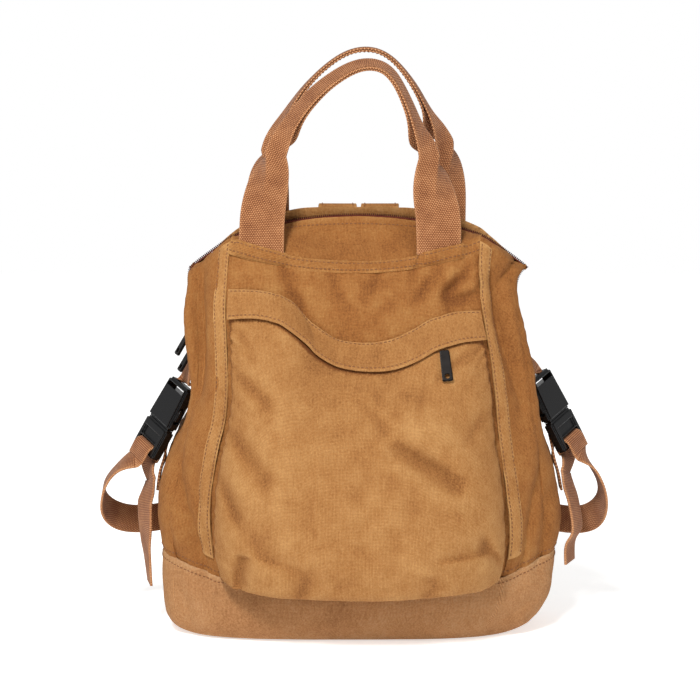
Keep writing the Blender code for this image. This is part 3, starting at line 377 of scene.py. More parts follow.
def level_at(face, across, rise):
    return found(lambda level: skin(face, across, level)[..., 2], rise, 0.0, RIDGE)


def across_at(face, x, level):
    return found(lambda across: skin(face, across, level)[..., 0], x, -3.0, 3.0)


print("skin height", round(float(skin("back", 0.0, BACK_EDGE)[2]), 4))

# %% [markdown]
# ## How cloth settles
# Blender's cloth can settle a grid of points: it gets a rest shape some per cent larger, is held
# at its edges and relaxes, and only how far each point moved is kept. On the body's firm walls
# that came to nothing, so only the pouch is settled, by a little air inside, and even there the
# moves are a fraction of a millimetre. What makes the cloth uneven is the noise, the wrinkles
# and the puckers further down, and its folds are the ones drawn above.

# %% Cloth settings
SETTLE_FRAMES = 16
CLOTH_SETTINGS = {
    "quality": 5,
    "mass": 0.3,
    "tension_stiffness": 12,
    "compression_stiffness": 12,
    "shear_stiffness": 6,
    "bending_stiffness": 1.2,
    "air_damping": 3,
    "vertex_group_mass": "held",
    "pin_stiffness": 2.0,
    "use_pressure": True,
}


def grid_faces(index):
    """Four-sided faces between neighbours in a grid, from the grid of their numbers."""
    corners = (index[:-1, :-1], index[:-1, 1:], index[1:, 1:], index[1:, :-1])
    return np.stack(corners, axis=-1).reshape(-1, 4)


def settle(name, points, held, looser, air):
    """Runs cloth on a grid of points with a rest shape that is larger, and returns its moves."""
    index = np.arange(held.size).reshape(held.shape)
    mesh = bpy.data.meshes.new(name)
    mesh.from_pydata(points.reshape(-1, 3).tolist(), [], grid_faces(index).tolist())
    piece = placed(name, mesh)
    group = piece.vertex_groups.new(name="held")
    for i, weight in enumerate(held.ravel().tolist()):
        if weight > 0:
            group.add([i], weight, "REPLACE")
    piece.shape_key_add(name="shown")
    rest = piece.shape_key_add(name="rest")
    rest.data.foreach_set("co", (points.reshape(-1, 3) * np.array(looser)).ravel())
    cloth = piece.modifiers.new("cloth", "CLOTH")
    for key, value in CLOTH_SETTINGS.items():
        setattr(cloth.settings, key, value)
    cloth.settings.rest_shape_key = rest
    cloth.settings.effector_weights.gravity = 0.0
    cloth.settings.uniform_pressure_force = air
    cloth.collision_settings.use_collision = False
    cloth.point_cache.frame_start = 1
    cloth.point_cache.frame_end = SETTLE_FRAMES
    for step in range(1, SETTLE_FRAMES + 1):
        bpy.context.scene.frame_set(step)
    graph = bpy.context.evaluated_depsgraph_get()
    result = piece.evaluated_get(graph).to_mesh()
    ends = np.empty(points.size)
    result.vertices.foreach_get("co", ends)
    bpy.data.objects.remove(piece)
    bpy.context.scene.frame_set(1)
    return ends.reshape(points.shape) - points


def softened(grid, passes):
    """A grid with each point moved to the mean of its neighbours, its border kept."""
    for _ in range(passes):
        inner = grid[:-2, 1:-1] + grid[2:, 1:-1] + grid[1:-1, :-2] + grid[1:-1, 2:]
        grid = grid.copy()
        grid[1:-1, 1:-1] = grid[1:-1, 1:-1] * 0.5 + inner * 0.125
    return grid


def settled(name, points, held, looser, air, cap):
    """Moves of settled cloth, none of them over the cap."""
    moves = settle(f"settle_{name}", points, held, looser, air)
    length = np.linalg.norm(moves, axis=-1, keepdims=True)
    moves = softened(moves * cap / (cap + length), 2)
    print(f"{name} cloth moved", round(float(np.abs(moves).max()) * 1000, 2), "mm at most")
    return moves


# %% [markdown]
# Washed cloth is never quite even. Its small unevenness is smooth noise on the cloth's own grid,
# fixed by a seed and mostly under a millimetre.

# %% Small unevenness
CRUMPLE_SIDE = 64
CRUMPLE = np.random.default_rng(11).normal(size=(CRUMPLE_SIDE, CRUMPLE_SIDE, 1))
CRUMPLE_SIZES = ((0.030, 0.00055), (0.013, 0.00028), (0.0065, 0.00012))


def crumple(u, v):
    total = 0.0
    around = CRUMPLE_SIDE - 3
    for size, height in CRUMPLE_SIZES:
        row, column = (u / size) % around + 1, (v / size) % around + 1
        total = total + sampled(CRUMPLE, row, column)[..., 0] * height
    return total


def cloth_skin(face, across, level, lift=0.0):
    """Points of the body's cloth, lifted by so much along its normal."""
    across, level = matched(across, level)
    raised = skin_normal(face, across, level) * np.asarray(lift)[..., None]
    return skin(face, across, level) + raised


# %% [markdown]
# ## Colours
# A colour picked from a picture is in sRGB, which holds light unevenly. Shaders want linear
# light, so one function turns a hex code into it, and every colour here goes through it.
# One more function adds a node with its settings and links, so a material reads from top to end.

# %% Colour and node helpers
MATH, VECTOR_MATH, NOISE = "ShaderNodeMath", "ShaderNodeVectorMath", "ShaderNodeTexNoise"


def linear(code):
    parts = [int(code[i : i + 2], 16) / 255 for i in (1, 3, 5)]
    return (*[c / 12.92 if c <= 0.04045 else ((c + 0.055) / 1.055) ** 2.4 for c in parts], 1.0)


def feed(tree, node, inputs):
    """Gives a node its inputs: values, sockets, or nodes that stand for their first output."""
    for key, value in inputs.items() if isinstance(inputs, dict) else enumerate(inputs):
        if isinstance(value, bpy.types.Node):
            value = value.outputs[0]
        if isinstance(value, bpy.types.NodeSocket):
            tree.links.new(value, node.inputs[key])
        else:
            node.inputs[key].default_value = value
    return node


def add(tree, kind, inputs=(), **settings):
    """Adds a node with its settings and links. Inputs are in order, or a dict by name or number."""
    node = tree.nodes.new(kind)
    for key, value in settings.items():
        setattr(node, key, value)
    return feed(tree, node, inputs)


def set_stops(ramp, low, high, *between):
    """Sets a colour ramp's stops, each a place from 0 to 1 and a hex code."""
    stops = ramp.color_ramp.elements
    for stop, (place, code) in zip(stops, (low, high)):
        stop.position = place
        stop.color = linear(code)
    for place, code in between:
        stops.new(place).color = linear(code)


def new_material(name):
    made = bpy.data.materials.new(name)
    made.use_nodes = True
    return made, made.node_tree, made.node_tree.nodes["Principled BSDF"]


def thread_round(tree, place):
    """The rise and fall of one round thread over each whole step of a place."""
    part = add(tree, MATH, (place,), operation="FRACT")
    turned = add(tree, MATH, (part, math.pi), operation="MULTIPLY")
    return add(tree, MATH, (turned,), operation="SINE")


# %% [markdown]
# ## Canvas
# Washed cotton duck is a plain weave: each thread goes over one and under the next. Its dye sits
# on the surface, so washing takes it off wherever the cloth stands proud, along folds, hems
# and seams, and leaves it in the hollows. The dark of the hollows and seams is partly painted
# shade as well. It is quite matt, with a faint bloom of loose fibres.
# Real threads are 0.6 mm apart, too fine for the picture, so they are drawn 1.15 mm apart. The
# other sizes are in metres too: how far threads wander, and how wide slubs, mottling, grain and
# fuzz are. The faded clouds are 71 to 91 mm wide, so that no two of the three cloths look alike.

# %% Canvas
CANVAS_THREAD = 0.00115
CANVAS_COLORS = ("#76441d", "#a8733f", "#c29159")
DEEP_COLORS = ("#663717", "#99612f", "#b48149")
FADED_COLORS = ("#7c4f2e", "#b07d50", "#c69c70")
WANDER_SIZE, WANDER_REACH = 0.011111, 0.0011
SLUB_WIDTH, SLUB_LENGTH = 0.00111111, 0.0222222
MOTTLE_SIZE, GRAIN_SIZE, FUZZ_SIZE = 0.0117647, 0.00161290, 0.000714286
CANVAS_BUMP = 0.00045


def plain_weave(tree, place, thread):
    """Height of a plain weave, 0 between threads and 1 on top of one."""
    scaled = add(tree, VECTOR_MATH, (place, (1 / thread, 1 / thread, 0)), operation="MULTIPLY")
    u, v = add(tree, "ShaderNodeSeparateXYZ", (scaled,)).outputs[:2]
    ridges = [thread_round(tree, way) for way in (u, v)]
    cells = [add(tree, MATH, (way,), operation="FLOOR") for way in (u, v)]
    half = add(tree, MATH, (add(tree, MATH, cells, operation="ADD"), 0.5), operation="MULTIPLY")
    over = add(tree, MATH, (add(tree, MATH, (half,), operation="FRACT"), 2.0), operation="MULTIPLY")
    threads = []
    for ridge, other in (ridges, ridges[::-1]):
        bent = add(tree, MATH, (other, 0.35, 0.65), operation="MULTIPLY_ADD")
        threads.append(add(tree, MATH, (ridge, bent), operation="MULTIPLY"))
    return add(tree, "ShaderNodeMix", {0: over, 2: threads[0], 3: threads[1]}, data_type="FLOAT")


def canvas_material(name, colors, cloud_size):
    """Canvas in three colours, from the dark of its hollows, partly painted shade, to the pale of its worn
    places.
    """
    made, tree, shader = new_material(name)
    cloth = add(tree, "ShaderNodeUVMap", uv_map="cloth")
    body = add(tree, "ShaderNodeTexCoord").outputs["Object"]
    wander = add(tree, NOISE, {"Vector": cloth, "Scale": 1 / WANDER_SIZE, "Detail": 2.0})
    reach = (WANDER_REACH, WANDER_REACH, 0)
    shifted = add(tree, VECTOR_MATH, (wander.outputs["Color"], reach, cloth), operation="MULTIPLY_ADD")
    weave = plain_weave(tree, shifted, CANVAS_THREAD)
    slub_pace = (1 / SLUB_WIDTH, 1 / SLUB_LENGTH, 0)
    streak = add(tree, VECTOR_MATH, (cloth, slub_pace), operation="MULTIPLY")
    # Clouds, mottling, slubs and grain, each with its share in the tone
    layers = (
        (0.46, {"Vector": body, "Scale": 1 / cloud_size, "Detail": 3.0, "Roughness": 0.55}),
        (0.34, {"Vector": body, "Scale": 1 / MOTTLE_SIZE, "Detail": 5.0, "Roughness": 0.6}),
        (0.30, {"Vector": streak, "Scale": 1.0, "Detail": 2.0}),
        (0.75, {"Vector": body, "Scale": 1 / GRAIN_SIZE, "Detail": 2.0, "Roughness": 0.7}),
    )
    tone, noises = 0.0, []
    for share, inputs in layers:
        noises.append(add(tree, NOISE, inputs))
        centred = add(tree, MATH, (noises[-1], 0.5), operation="SUBTRACT")
        tone = add(tree, MATH, (centred, share, tone), operation="MULTIPLY_ADD")
    # Wear and painted shade are patchy, as the mottling is
    wear = add(tree, "ShaderNodeAttribute", attribute_name="wear").outputs["Fac"]
    patchy = add(tree, MATH, (wear, noises[1]), operation="MULTIPLY")
    worn_and_painted_shade = add(tree, MATH, (patchy, 1.1, tone), operation="MULTIPLY_ADD")
    ramp = add(tree, "ShaderNodeValToRGB", (add(tree, MATH, (worn_and_painted_shade, 0.5), operation="ADD"),))
    set_stops(ramp, (0.12, colors[0]), (0.95, colors[2]), (0.5, colors[1]))
    # Painted shade: the colour is darker between the threads and lighter on their tops
    gaps = add(tree, "ShaderNodeMapRange", {0: weave, 1: 0.2, 2: 0.9, 3: 0.64, 4: 1.17})
    color = add(tree, VECTOR_MATH, {0: ramp, "Scale": gaps}, operation="SCALE")
    fuzz = add(tree, NOISE, {"Vector": body, "Scale": 1 / FUZZ_SIZE, "Detail": 2.0})
    height = add(tree, MATH, (fuzz, 0.5, weave), operation="MULTIPLY_ADD")
    relief = {"Strength": 0.75, "Distance": CANVAS_BUMP, "Height": height}
    bump = add(tree, "ShaderNodeBump", relief)
    rough = add(tree, "ShaderNodeMapRange", {0: weave, 3: 0.97, 4: 0.86})
    feed(tree, shader, {"Base Color": color, "Normal": bump, "Roughness": rough})
    bloom = {"Sheen Weight": 0.06, "Sheen Tint": linear("#e8b070"), "Sheen Roughness": 0.45}
    feed(tree, shader, {**bloom, "Specular IOR Level": 0.25})
    return made


CANVAS_CLOTH = canvas_material("washed cotton canvas", CANVAS_COLORS, 0.0909091)
# A darker copy of the canvas for the throat, front, gussets and hem, partly painted shade
CANVAS_DEEP = canvas_material("less washed canvas", DEEP_COLORS, 0.08)
CANVAS_FADED = canvas_material("faded canvas", FADED_COLORS, 0.0714286)
print("canvas drawn with threads", CANVAS_THREAD * 1000, "mm apart")

# %% [markdown]
# ## Panels
# A panel is a patch of the skin as a closed wall of cloth. Two things make it look
# sewn and not printed: its edges roll down into the seams, and the cloth beside a seam puckers
# because the thread draws it up. Both are moves along the normal that fade away from the edge.
# Each point also has its wear and painted shade: 1 where the dye is gone, below 0 where shade is painted
# into a seam or hollow.

# %% Building cloth
CLOTH_STEP = 0.0024
SEAM_ROLL, ROLL_DEPTH = 0.0035, 0.0011
EDGE_WEAR, EDGE_REACH = 0.45, 0.0030
PROUD_WEAR, PROUD = 0.20, 0.0012
# Strengths of the painted shade in the seams' grooves and in the hollows
SEAM_SHADE, HOLLOW_SHADE = 0.42, 0.34
# Steps of the grid over which hollows are looked for, each with the depth that counts as full
HOLLOW_REACHES = ((2, 0.00022), (5, 0.0011))
SHARP_EDGE = math.radians(60)


def arcs(points):
    """Distances along rows and columns of a grid, measured from its middle column and first row."""
    sideways = np.linalg.norm(np.diff(points, axis=1), axis=-1)
    upwards = np.linalg.norm(np.diff(points, axis=0), axis=-1)
    u = np.pad(np.cumsum(sideways, axis=1), ((0, 0), (1, 0)))
    v = np.pad(np.cumsum(upwards, axis=0), ((1, 0), (0, 0)))
    return u - u[:, u.shape[1] // 2][:, None], v


def edge_gaps(points):
    """Distances from each point to the grid's four sides: low row, high row, low and high column."""
    u, v = arcs(points)
    return v, v.max(axis=0, keepdims=True) - v, u - u[:, :1], u[:, -1:] - u


def grid_normals(points):
    across = np.gradient(points, axis=1)
    along = np.gradient(points, axis=0)
    return unit(np.cross(across, along))


def places_between(low, high, length):
    return np.linspace(low, high, max(int(round(length / CLOTH_STEP)), 2) + 1)


def finish_piece(piece, slot, *nodes):
    """Every piece rides on the bag's one body and stands for its plain solids."""
    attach(piece, "root")
    if nodes:
        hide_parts(*nodes)
    return piece


def hollows(grid):
    """How far each place lies in a hollow of the cloth, from -1 on a ridge to 1 in a valley."""
    total = np.zeros(grid.shape[:2])
    if min(total.shape) < 24:
        return total
    normal = grid_normals(grid)
    for reach, full in HOLLOW_REACHES:
        low, high = slice(None, -2 * reach), slice(2 * reach, None)
        middle = slice(reach, -reach)
        around = grid[low, middle] + grid[high, middle] + grid[middle, low] + grid[middle, high]
        sunk = ((around / 4 - grid[middle, middle]) * normal[middle, middle]).sum(axis=-1)
        total[middle, middle] += np.clip(sunk / full, -1, 1) * 0.5
    return softened(total, 4)


def cloth_piece(name, points, faces, places, wear, material):
    """A piece of cloth with its UV map in metres, its wear and its material."""
    mesh = bpy.data.meshes.new(name)
    mesh.from_pydata(points.tolist(), [], faces)
    loops = np.empty(len(mesh.loops), dtype=int)
    mesh.loops.foreach_get("vertex_index", loops)
    mesh.uv_layers.new(name="cloth").data.foreach_set("uv", places[loops].ravel())
    mesh.attributes.new("wear", "FLOAT", "POINT").data.foreach_set("value", wear)
    mesh.shade_smooth()
    mesh.set_sharp_from_angle(angle=SHARP_EDGE)
    mesh.materials.append(material)
    return placed(name, mesh)


def cloth_wall(name, outer, inner, wear, material, uv=None):
    """A closed wall between two grids of points, with painted shade in its hollows."""
    index = np.arange(outer.size // 3).reshape(outer.shape[:2])
    back = index.size
    front_faces = grid_faces(index)
    rim = np.concatenate([index[0], index[1:, -1], index[-1, -2::-1], index[-2:0:-1, 0]])
    after = np.roll(rim, -1)
    sides = np.stack([after, rim, rim + back, after + back], -1)
    faces = np.concatenate([front_faces, front_faces[:, ::-1] + back, sides]).tolist()
    points = np.concatenate([outer.reshape(-1, 3), inner.reshape(-1, 3)])
    u, v = uv if uv is not None else arcs(outer)
    places = np.tile(np.stack([u.ravel(), v.ravel()], -1), (2, 1))
    # Painted shade: darker in the hollows and lighter on the ridges, partly standing for wear
    wear = np.tile((wear - hollows(outer) * HOLLOW_SHADE).ravel(), 2)
    return cloth_piece(name, points, faces, places, wear, material)


# %% [markdown]
# Washed canvas never lies smooth. Short wrinkles cross it at random, and beside a seam, where the
# thread has shrunk more than the cloth, it puckers into small folds square to the seam.

# %% Wrinkles and puckers
WRINKLES_A_SQUARE_METRE = 1500
WRINKLE_WAY, WRINKLE_BEND = (0.95, 0.35), (0, 6.0)
WRINKLE_LENGTH, WRINKLE_SPREAD = (0.010, 0.042), (0.0022, 0.0062)
WRINKLE_DEPTH = (-0.0012, 0.0007)
# A piece narrower than this has no wrinkles, and they fade so near to a seam
WRINKLE_ROOM, WRINKLE_FADE = 0.020, 0.014
PUCKER_PITCH, PUCKER_REACH, PUCKER_DEPTH = 0.0125, 0.011, 0.0011


def wrinkles(u, v, seed):
    """Depth of random short wrinkles over a piece whose cloth runs u by v metres."""
    chance = np.random.default_rng(seed)
    wide, high = float(u.max()), float(v.max())
    total = np.zeros(u.shape)
    for _ in range(int(wide * high * WRINKLES_A_SQUARE_METRE)):
        x, y = chance.uniform(0, wide), chance.uniform(0, high)
        way = chance.choice((-1, 1)) * chance.normal(*WRINKLE_WAY)
        length, spread = chance.uniform(*WRINKLE_LENGTH), chance.uniform(*WRINKLE_SPREAD)
        depth, bend = chance.uniform(*WRINKLE_DEPTH), chance.normal(*WRINKLE_BEND)
        dx, dy = u - x, v - y
        along = dx * math.cos(way) + dy * math.sin(way)
        off = dy * math.cos(way) - dx * math.sin(way) + bend * along**2
        total += depth * bell(along, length) * np.exp(-((np.abs(off) / spread) ** 1.6))
    return total


def puckers(gap, run, phase=0.0):
    """Small folds square to a seam: gap is the distance from it and run the place along it."""
    uneven = np.sin(run * 83.0 + phase) + 0.6 * np.sin(run * 211.0 + 2 * phase)
    wave = 0.5 + 0.5 * np.sin(run * 2 * math.pi / PUCKER_PITCH + 1.7 * uneven)
    return -PUCKER_DEPTH * wave * (0.6 + 0.25 * uneven) * np.exp(-gap / PUCKER_REACH)


# %% [markdown]
# The cloth behind the zip is a facing that stands up higher than the cloth before it, so that
# from the front it shows as a lip over the zip. The skin's two halves meet at the same height, so
# the facing's last bit is drawn upright. Towards the ends of the zip the lip goes down again.

# %% One panel
FACING_RISE, FACING_FOLD, FACING_ENDS = 0.0080, 0.14, 2.0


def crown(across, ends):
    """1 over the middle of the bag, falling to 0 at the ends, counted in seams."""
    return np.clip(1 - (np.abs(across) / ends) ** 4, 0.0, 1.0)


def facing_rise(across, level):
    """How much higher the cloth behind the zip stands than the cloth before it."""
    near = np.clip((level - RIDGE + FACING_FOLD) / FACING_FOLD, 0.0, 1.0)
    return FACING_RISE * near * crown(across, FACING_ENDS)


def panel(name, face, acrosses, levels, rolled="", lift=0.0, thick=CANVAS, over=None):
    """A patch of the skin. Rolled names its sewn sides: low, high, left, right."""
    probe = skin(face, np.linspace(*acrosses, 30)[None, :], np.linspace(*levels, 30)[:, None])
    wide = np.linalg.norm(np.diff(probe[15], axis=0), axis=-1).sum()
    high = np.linalg.norm(np.diff(probe[:, 15], axis=0), axis=-1).sum()
    across = places_between(*acrosses, wide)[None, :]
    level = places_between(*levels, high)[:, None]
    base = cloth_skin(face, across, level)
    if name.startswith("zip_facing"):
        base[..., 2] += facing_rise(across, level)
    gaps = dict(zip(("low", "high", "left", "right"), edge_gaps(base)))
    roll = sum(bell(gaps[side], SEAM_ROLL) for side in rolled.split())
    u, v = arcs(base)
    uneven = crumple(u + levels[0] * 0.37, v + acrosses[0] * 0.53)
    if min(u.max(), v.max()) > WRINKLE_ROOM:
        inland = 1 - bell(np.minimum.reduce(list(gaps.values())), WRINKLE_FADE)
        uneven = uneven + wrinkles(u, v, sum(name.encode())) * inland
    for side in rolled.split():
        run = v if side in ("left", "right") else u
        uneven = uneven + puckers(gaps[side], run, levels[0]) * (0.25 if lift else 1.0)
    normal = skin_normal(face, across, level)
    stand = lift + uneven - roll * ROLL_DEPTH
    if over:
        stand = stand + over(base, v / v.max())
    outer = base + normal * np.asarray(stand)[..., None]
    inner = outer - normal * thick
    wear = sum(np.exp(-gap / EDGE_REACH) for gap in gaps.values()) * EDGE_WEAR
    wear = np.clip(wear + np.clip(uneven / PROUD, 0, 1) * PROUD_WEAR, 0, 1)
    # Painted shade in the grooves of the seams, except on the raised bands
    wear = wear - roll * (0.0 if lift else SEAM_SHADE)
    # These panels take the darker canvas, which is partly painted shade
    deep = name.startswith(("throat", "front", "gusset", "top_hem"))
    return cloth_wall(name, outer, inner, wear, CANVAS_DEEP if deep else CANVAS_CLOTH, (u, v))


# %% [markdown]
# ## The body
# Front, strips, gussets, throat and back are ten panels of the same skin. Where two of them
# meet, both roll down into the seam, which leaves the fine groove that a seam is.

# %% Body panels
SIDES = {-1: "left", 1: "right"}
THROAT_LAP = 0.15


def body():
    made = [
        ("front_panel", "front", (-1, 1), (BASE_SEAM, HEM_SEAM), "low left right"),
        ("throat_panel", "front", (-1, 1), (HEM_SEAM - THROAT_LAP, RIDGE), ""),
        ("back_panel", "back", (-2, 2), (BASE_SEAM, BACK_EDGE), "low high left right"),
        ("zip_facing_back", "back", (-2, 2), (BACK_EDGE, RIDGE), "low"),
    ]
    for side, word in SIDES.items():
        strip, gusset = sorted((side, 2 * side)), sorted((2 * side, 3 * side))
        tall, sewn = (BASE_SEAM, RIDGE), "low left right"
        made.append((f"front_strip_{word}", "front", strip, tall, sewn))
        made.append((f"gusset_front_{word}", "front", gusset, tall, sewn))
        made.append((f"gusset_back_{word}", "back", gusset, tall, sewn))
    for name, *way in made:
        piece = panel(name + "_cloth", *way)
        finish_piece(piece, "canvas", name)
        print(piece.name, len(piece.data.polygons), "faces")


body()

# %% [markdown]
# ## The foot
# The bag's foot is one piece of the same canvas, turned up all round and seamed to the walls.
# Its wall is a closed ring of the skin, and its floor a flat sheet that the wall runs into.

# %% The foot
FOOT_COLUMNS = 360
FOOT_LOW_ROWS, FOOT_WALL_ROWS = (0.0, 0.15, 0.3, 0.5, 0.75), 40
# Wear along the seam, and where the wall turns under and rubs on the floor
FOOT_SEAM_WEAR, FOOT_FLOOR_WEAR, RUB_RISE = 0.5, 0.6, 0.006


def ring_points(level):
    """A closed ring of the skin at one level, from the left side round the front."""
    half = FOOT_COLUMNS // 2
    ways = (("front", np.linspace(-3, 3, half + 1)[:-1]), ("back", np.linspace(3, -3, half + 1)[:-1]))
    return np.concatenate([cloth_skin(face, across, level) for face, across in ways])


def foot():
    levels = np.concatenate([FOOT_LOW_ROWS, np.linspace(1.0, BASE_SEAM, FOOT_WALL_ROWS)])
    ring = np.stack([ring_points(level) for level in levels])
    outward = unit(ring - ring.mean(axis=1, keepdims=True) * (1, 1, 0) - ring * (0, 0, 1))
    u = np.linalg.norm(np.roll(ring, -1, axis=1) - ring, axis=-1).cumsum(axis=1)
    v = np.pad(np.linalg.norm(np.diff(ring, axis=0), axis=-1).cumsum(axis=0), ((1, 0), (0, 0)))
    gap = v[-1:] - v
    uneven = crumple(u, v + 0.4) * np.clip(levels[:, None] / FOLDS_START, 0, 1)
    roll = bell(gap, SEAM_ROLL) * ROLL_DEPTH
    outer = ring + outward * (uneven - roll)[..., None]
    inner = outer - outward * CANVAS
    inner[:4, :, 2] = np.maximum(inner[:4, :, 2], CANVAS)
    index = np.arange(gap.size).reshape(gap.shape)
    after = np.roll(index, -1, axis=1)
    back = index.size
    faces = np.stack([index[:-1], after[:-1], after[1:], index[1:]], -1).reshape(-1, 4)
    rim = np.stack([index[-1], after[-1], after[-1] + back, index[-1] + back], -1)
    faces = np.concatenate([faces, faces[:, ::-1] + back, rim]).tolist()
    faces += [index[0, ::-1].tolist(), (index[0] + back).tolist()]
    points = np.concatenate([outer.reshape(-1, 3), inner.reshape(-1, 3)])
    places = np.tile(np.stack([u.ravel(), v.ravel()], -1), (2, 1))
    wear = np.exp(-gap / EDGE_REACH) * FOOT_SEAM_WEAR + bell(v - RUB_RISE, RUB_RISE) * FOOT_FLOOR_WEAR
    wear = np.tile(wear.ravel(), 2)
    piece = cloth_piece("base_tub_cloth", points, faces, places, wear, CANVAS_FADED)
    mesh = piece.data
    # The weave of both floor sheets runs straight over the plan
    for polygon in mesh.polygons[-2:]:
        for loop in polygon.loop_indices:
            mesh.uv_layers["cloth"].data[loop].uv = points[mesh.loops[loop].vertex_index][:2]
    print("foot", len(mesh.polygons), "faces")
    return finish_piece(piece, "canvas", "base_tub")


foot()

# %% [markdown]
# ## Felled seams and the hem
# Beside the pocket the seam is felled: both edges are folded under and sewn flat, which makes a
# narrow raised band. The top edge of the front is turned over in the same way. Each is a thin
# strip of the skin, lifted by its own thickness, whose edges are the most worn cloth of the bag.

# %% Raised bands
HEM_CLOTH = 0.0014
HEM_HEIGHT = 0.011
FELL_END = 1.25
FELL_LEVELS = (BASE_SEAM + 0.5, HEM_SEAM - 0.1)
FOOT_MIDDLES, FOOT_HALF, FOOT_LIFT = (-0.0810, 0.0695), 0.020, 0.0038
FOOT_SOFT = 0.003


def eased(share):
    """A share from 0 to 1 that starts and ends gently."""
    return share * share * (3 - 2 * share)


def over_feet(places, height):
    """How far the hem is lifted by the two handle feet that run down under it."""
    lift = np.zeros(places.shape[:2])
    for middle in FOOT_MIDDLES:
        gap = np.clip((np.abs(places[..., 0] - middle) - FOOT_HALF) / FOOT_SOFT, 0, 1)
        lift = lift + FOOT_LIFT * (1 - eased(gap))
    return lift * np.clip(height * 1.8, 0, 1)


def below_hem(drop):
    """The level that lies so many metres below the hem's top edge, in the middle of the front."""
    half_level = np.linalg.norm(skin("front", 0, HEM_SEAM) - skin("front", 0, HEM_SEAM - 0.5))
    return HEM_SEAM - 0.5 * drop / half_level


def raised_bands():
    proud = HEM_CLOTH + LAY_GAP
    strips = []
    for side, word in SIDES.items():
        acrosses = sorted((side, side * FELL_END))
        strips.append((f"felled_seam_{word}", acrosses, FELL_LEVELS, "left right", None))
    hem_levels = (below_hem(HEM_HEIGHT), HEM_SEAM)
    strips.append(("top_hem", (-1, 1), hem_levels, "low high", over_feet))
    for name, acrosses, levels, rolled, over in strips:
        band = panel(name + "_cloth", "front", acrosses, levels, rolled, proud, HEM_CLOTH, over)
        finish_piece(band, "canvas", name)
        print(band.name, len(band.data.polygons), "faces")


raised_bands()

# %% [markdown]
# ## The pouch pocket
# The pocket is a soft sack that hangs from its zip and its side seams: it bellies out, turns
# under at the bottom and puckers where the seams gather it. It has a small table of its own, from
# the sewn lower edge round the belly to the zip. Then it settles a little, with some air in it,
# since a pocket keeps some air.

# %% Pocket sizes
POCKET_REACH = 0.041
POUCH_SPAN = 0.975
POUCH_EASE = 0.0044
FLAP_CLOTH = 0.0016
BAND_LAP = 0.003
BAND_REACH = 0.17
POUCH_CORNER = 3.4
POUCH_FALL = 0.55
# How much larger its rest shape is along x, y and z, its air pressure, and its largest move
POUCH_LOOSER, POUCH_AIR, POUCH_CAP = (1.05, 1.05, 1.045), 0.6, 0.006
# How far the ends of the pouch's turned-under edge are drawn up
POUCH_TUCK = 0.004

PouchRow = namedtuple("PouchRow", "level lift reach spread")
POUCH = (
    PouchRow(4.60, 0.00, 0.00, 0.90),
    PouchRow(4.15, 0.00, 0.42, 0.93),
    PouchRow(3.90, 0.00, 0.76, 0.955),
    PouchRow(4.05, 0.00, 0.93, 0.98),
    PouchRow(4.50, 0.00, 1.00, 1.00),
    PouchRow(4.90, 0.00, 1.00, 1.00),
    PouchRow(4.90, 0.22, 0.93, 1.00),
    PouchRow(4.90, 0.44, 0.79, 1.00),
    PouchRow(4.90, 0.64, 0.60, 1.00),
    PouchRow(4.90, 0.82, 0.38, 1.00),
    PouchRow(4.90, 0.93, 0.22, 1.00),
    PouchRow(4.90, 1.00, 0.10, 1.00),
)

PouchFold = namedtuple("PouchFold", "across row across_end row_end spread depth sharp")
POUCH_FOLDS = (
    PouchFold(-0.98, 8.7, -0.70, 8.0, 0.055, -0.25, 1.7),
    PouchFold(-1.00, 7.4, -0.66, 6.5, 0.065, -0.32, 1.7),
    PouchFold(-1.00, 6.5, -0.84, 5.8, 0.045, -0.29, 1.7),
    PouchFold(-0.93, 10.6, -0.84, 9.0, 0.060, -0.23, 1.8),
    PouchFold(-0.85, 5.8, -0.50, 4.6, 0.110, -0.12, 2.0),
    PouchFold(-0.02, 9.1, 0.20, 8.2, 0.032, -0.11, 1.7),
    PouchFold(0.27, 7.8, 0.68, 6.6, 0.044, -0.30, 1.6),
    PouchFold(0.34, 8.4, 0.78, 7.3, 0.100, 0.12, 2.0),
    PouchFold(0.34, 9.2, 0.66, 8.8, 0.100, -0.13, 2.0),
    PouchFold(0.62, 9.3, 0.92, 10.3, 0.060, -0.17, 1.8),
    PouchFold(0.98, 8.2, 0.80, 7.6, 0.060, -0.13, 1.8),
    PouchFold(-0.90, 2.0, -0.79, 4.7, 0.050, -0.35, 1.6),
    PouchFold(-0.45, 2.4, -0.38, 4.2, 0.080, -0.10, 1.8),
    PouchFold(0.96, 4.1, 0.84, 5.3, 0.050, -0.32, 1.6),
    PouchFold(0.58, 5.0, 0.93, 5.1, 0.050, -0.09, 1.8),
    PouchFold(0.52, 2.4, 0.50, 3.9, 0.090, -0.09, 1.8),
)
# One row of the pouch is about a quarter as high as half the pouch is wide
ROW_SHARE = 0.25
POUCH_FOLDS = [
    fold._replace(row=fold.row * ROW_SHARE, row_end=fold.row_end * ROW_SHARE)
    for fold in POUCH_FOLDS
]

# The wavy zip band: across as a share of HALF_WIDTH, its two edges as shares of BODY_HEIGHT
Wave = namedtuple("Wave", "x lower upper")
WAVE = (
    Wave(-0.70, 0.772, 0.838),
    Wave(-0.48, 0.782, 0.838),
    Wave(-0.36, 0.769, 0.826),
    Wave(-0.28, 0.737, 0.802),
    Wave(-0.20, 0.700, 0.764),
    Wave(-0.09, 0.670, 0.728),
    Wave(0.04, 0.660, 0.718),
    Wave(0.16, 0.663, 0.724),
    Wave(0.27, 0.680, 0.744),
    Wave(0.38, 0.707, 0.772),
    Wave(0.52, 0.725, 0.786),
    Wave(0.72, 0.730, 0.788),
)

# %% The pouch


def wave_at(x, edge):
    """Height of the zip band's lower or upper edge at x, from the WAVE table."""
    marks = [row.x for row in WAVE]
    row = mixed(WAVE, np.interp(x / HALF_WIDTH, marks, range(len(marks))))
    return (row.lower if edge == "lower" else row.upper) * BODY_HEIGHT


def pouch_rim(share):
    return np.maximum(1 - np.abs(share) ** POUCH_CORNER, 0.0) ** POUCH_FALL


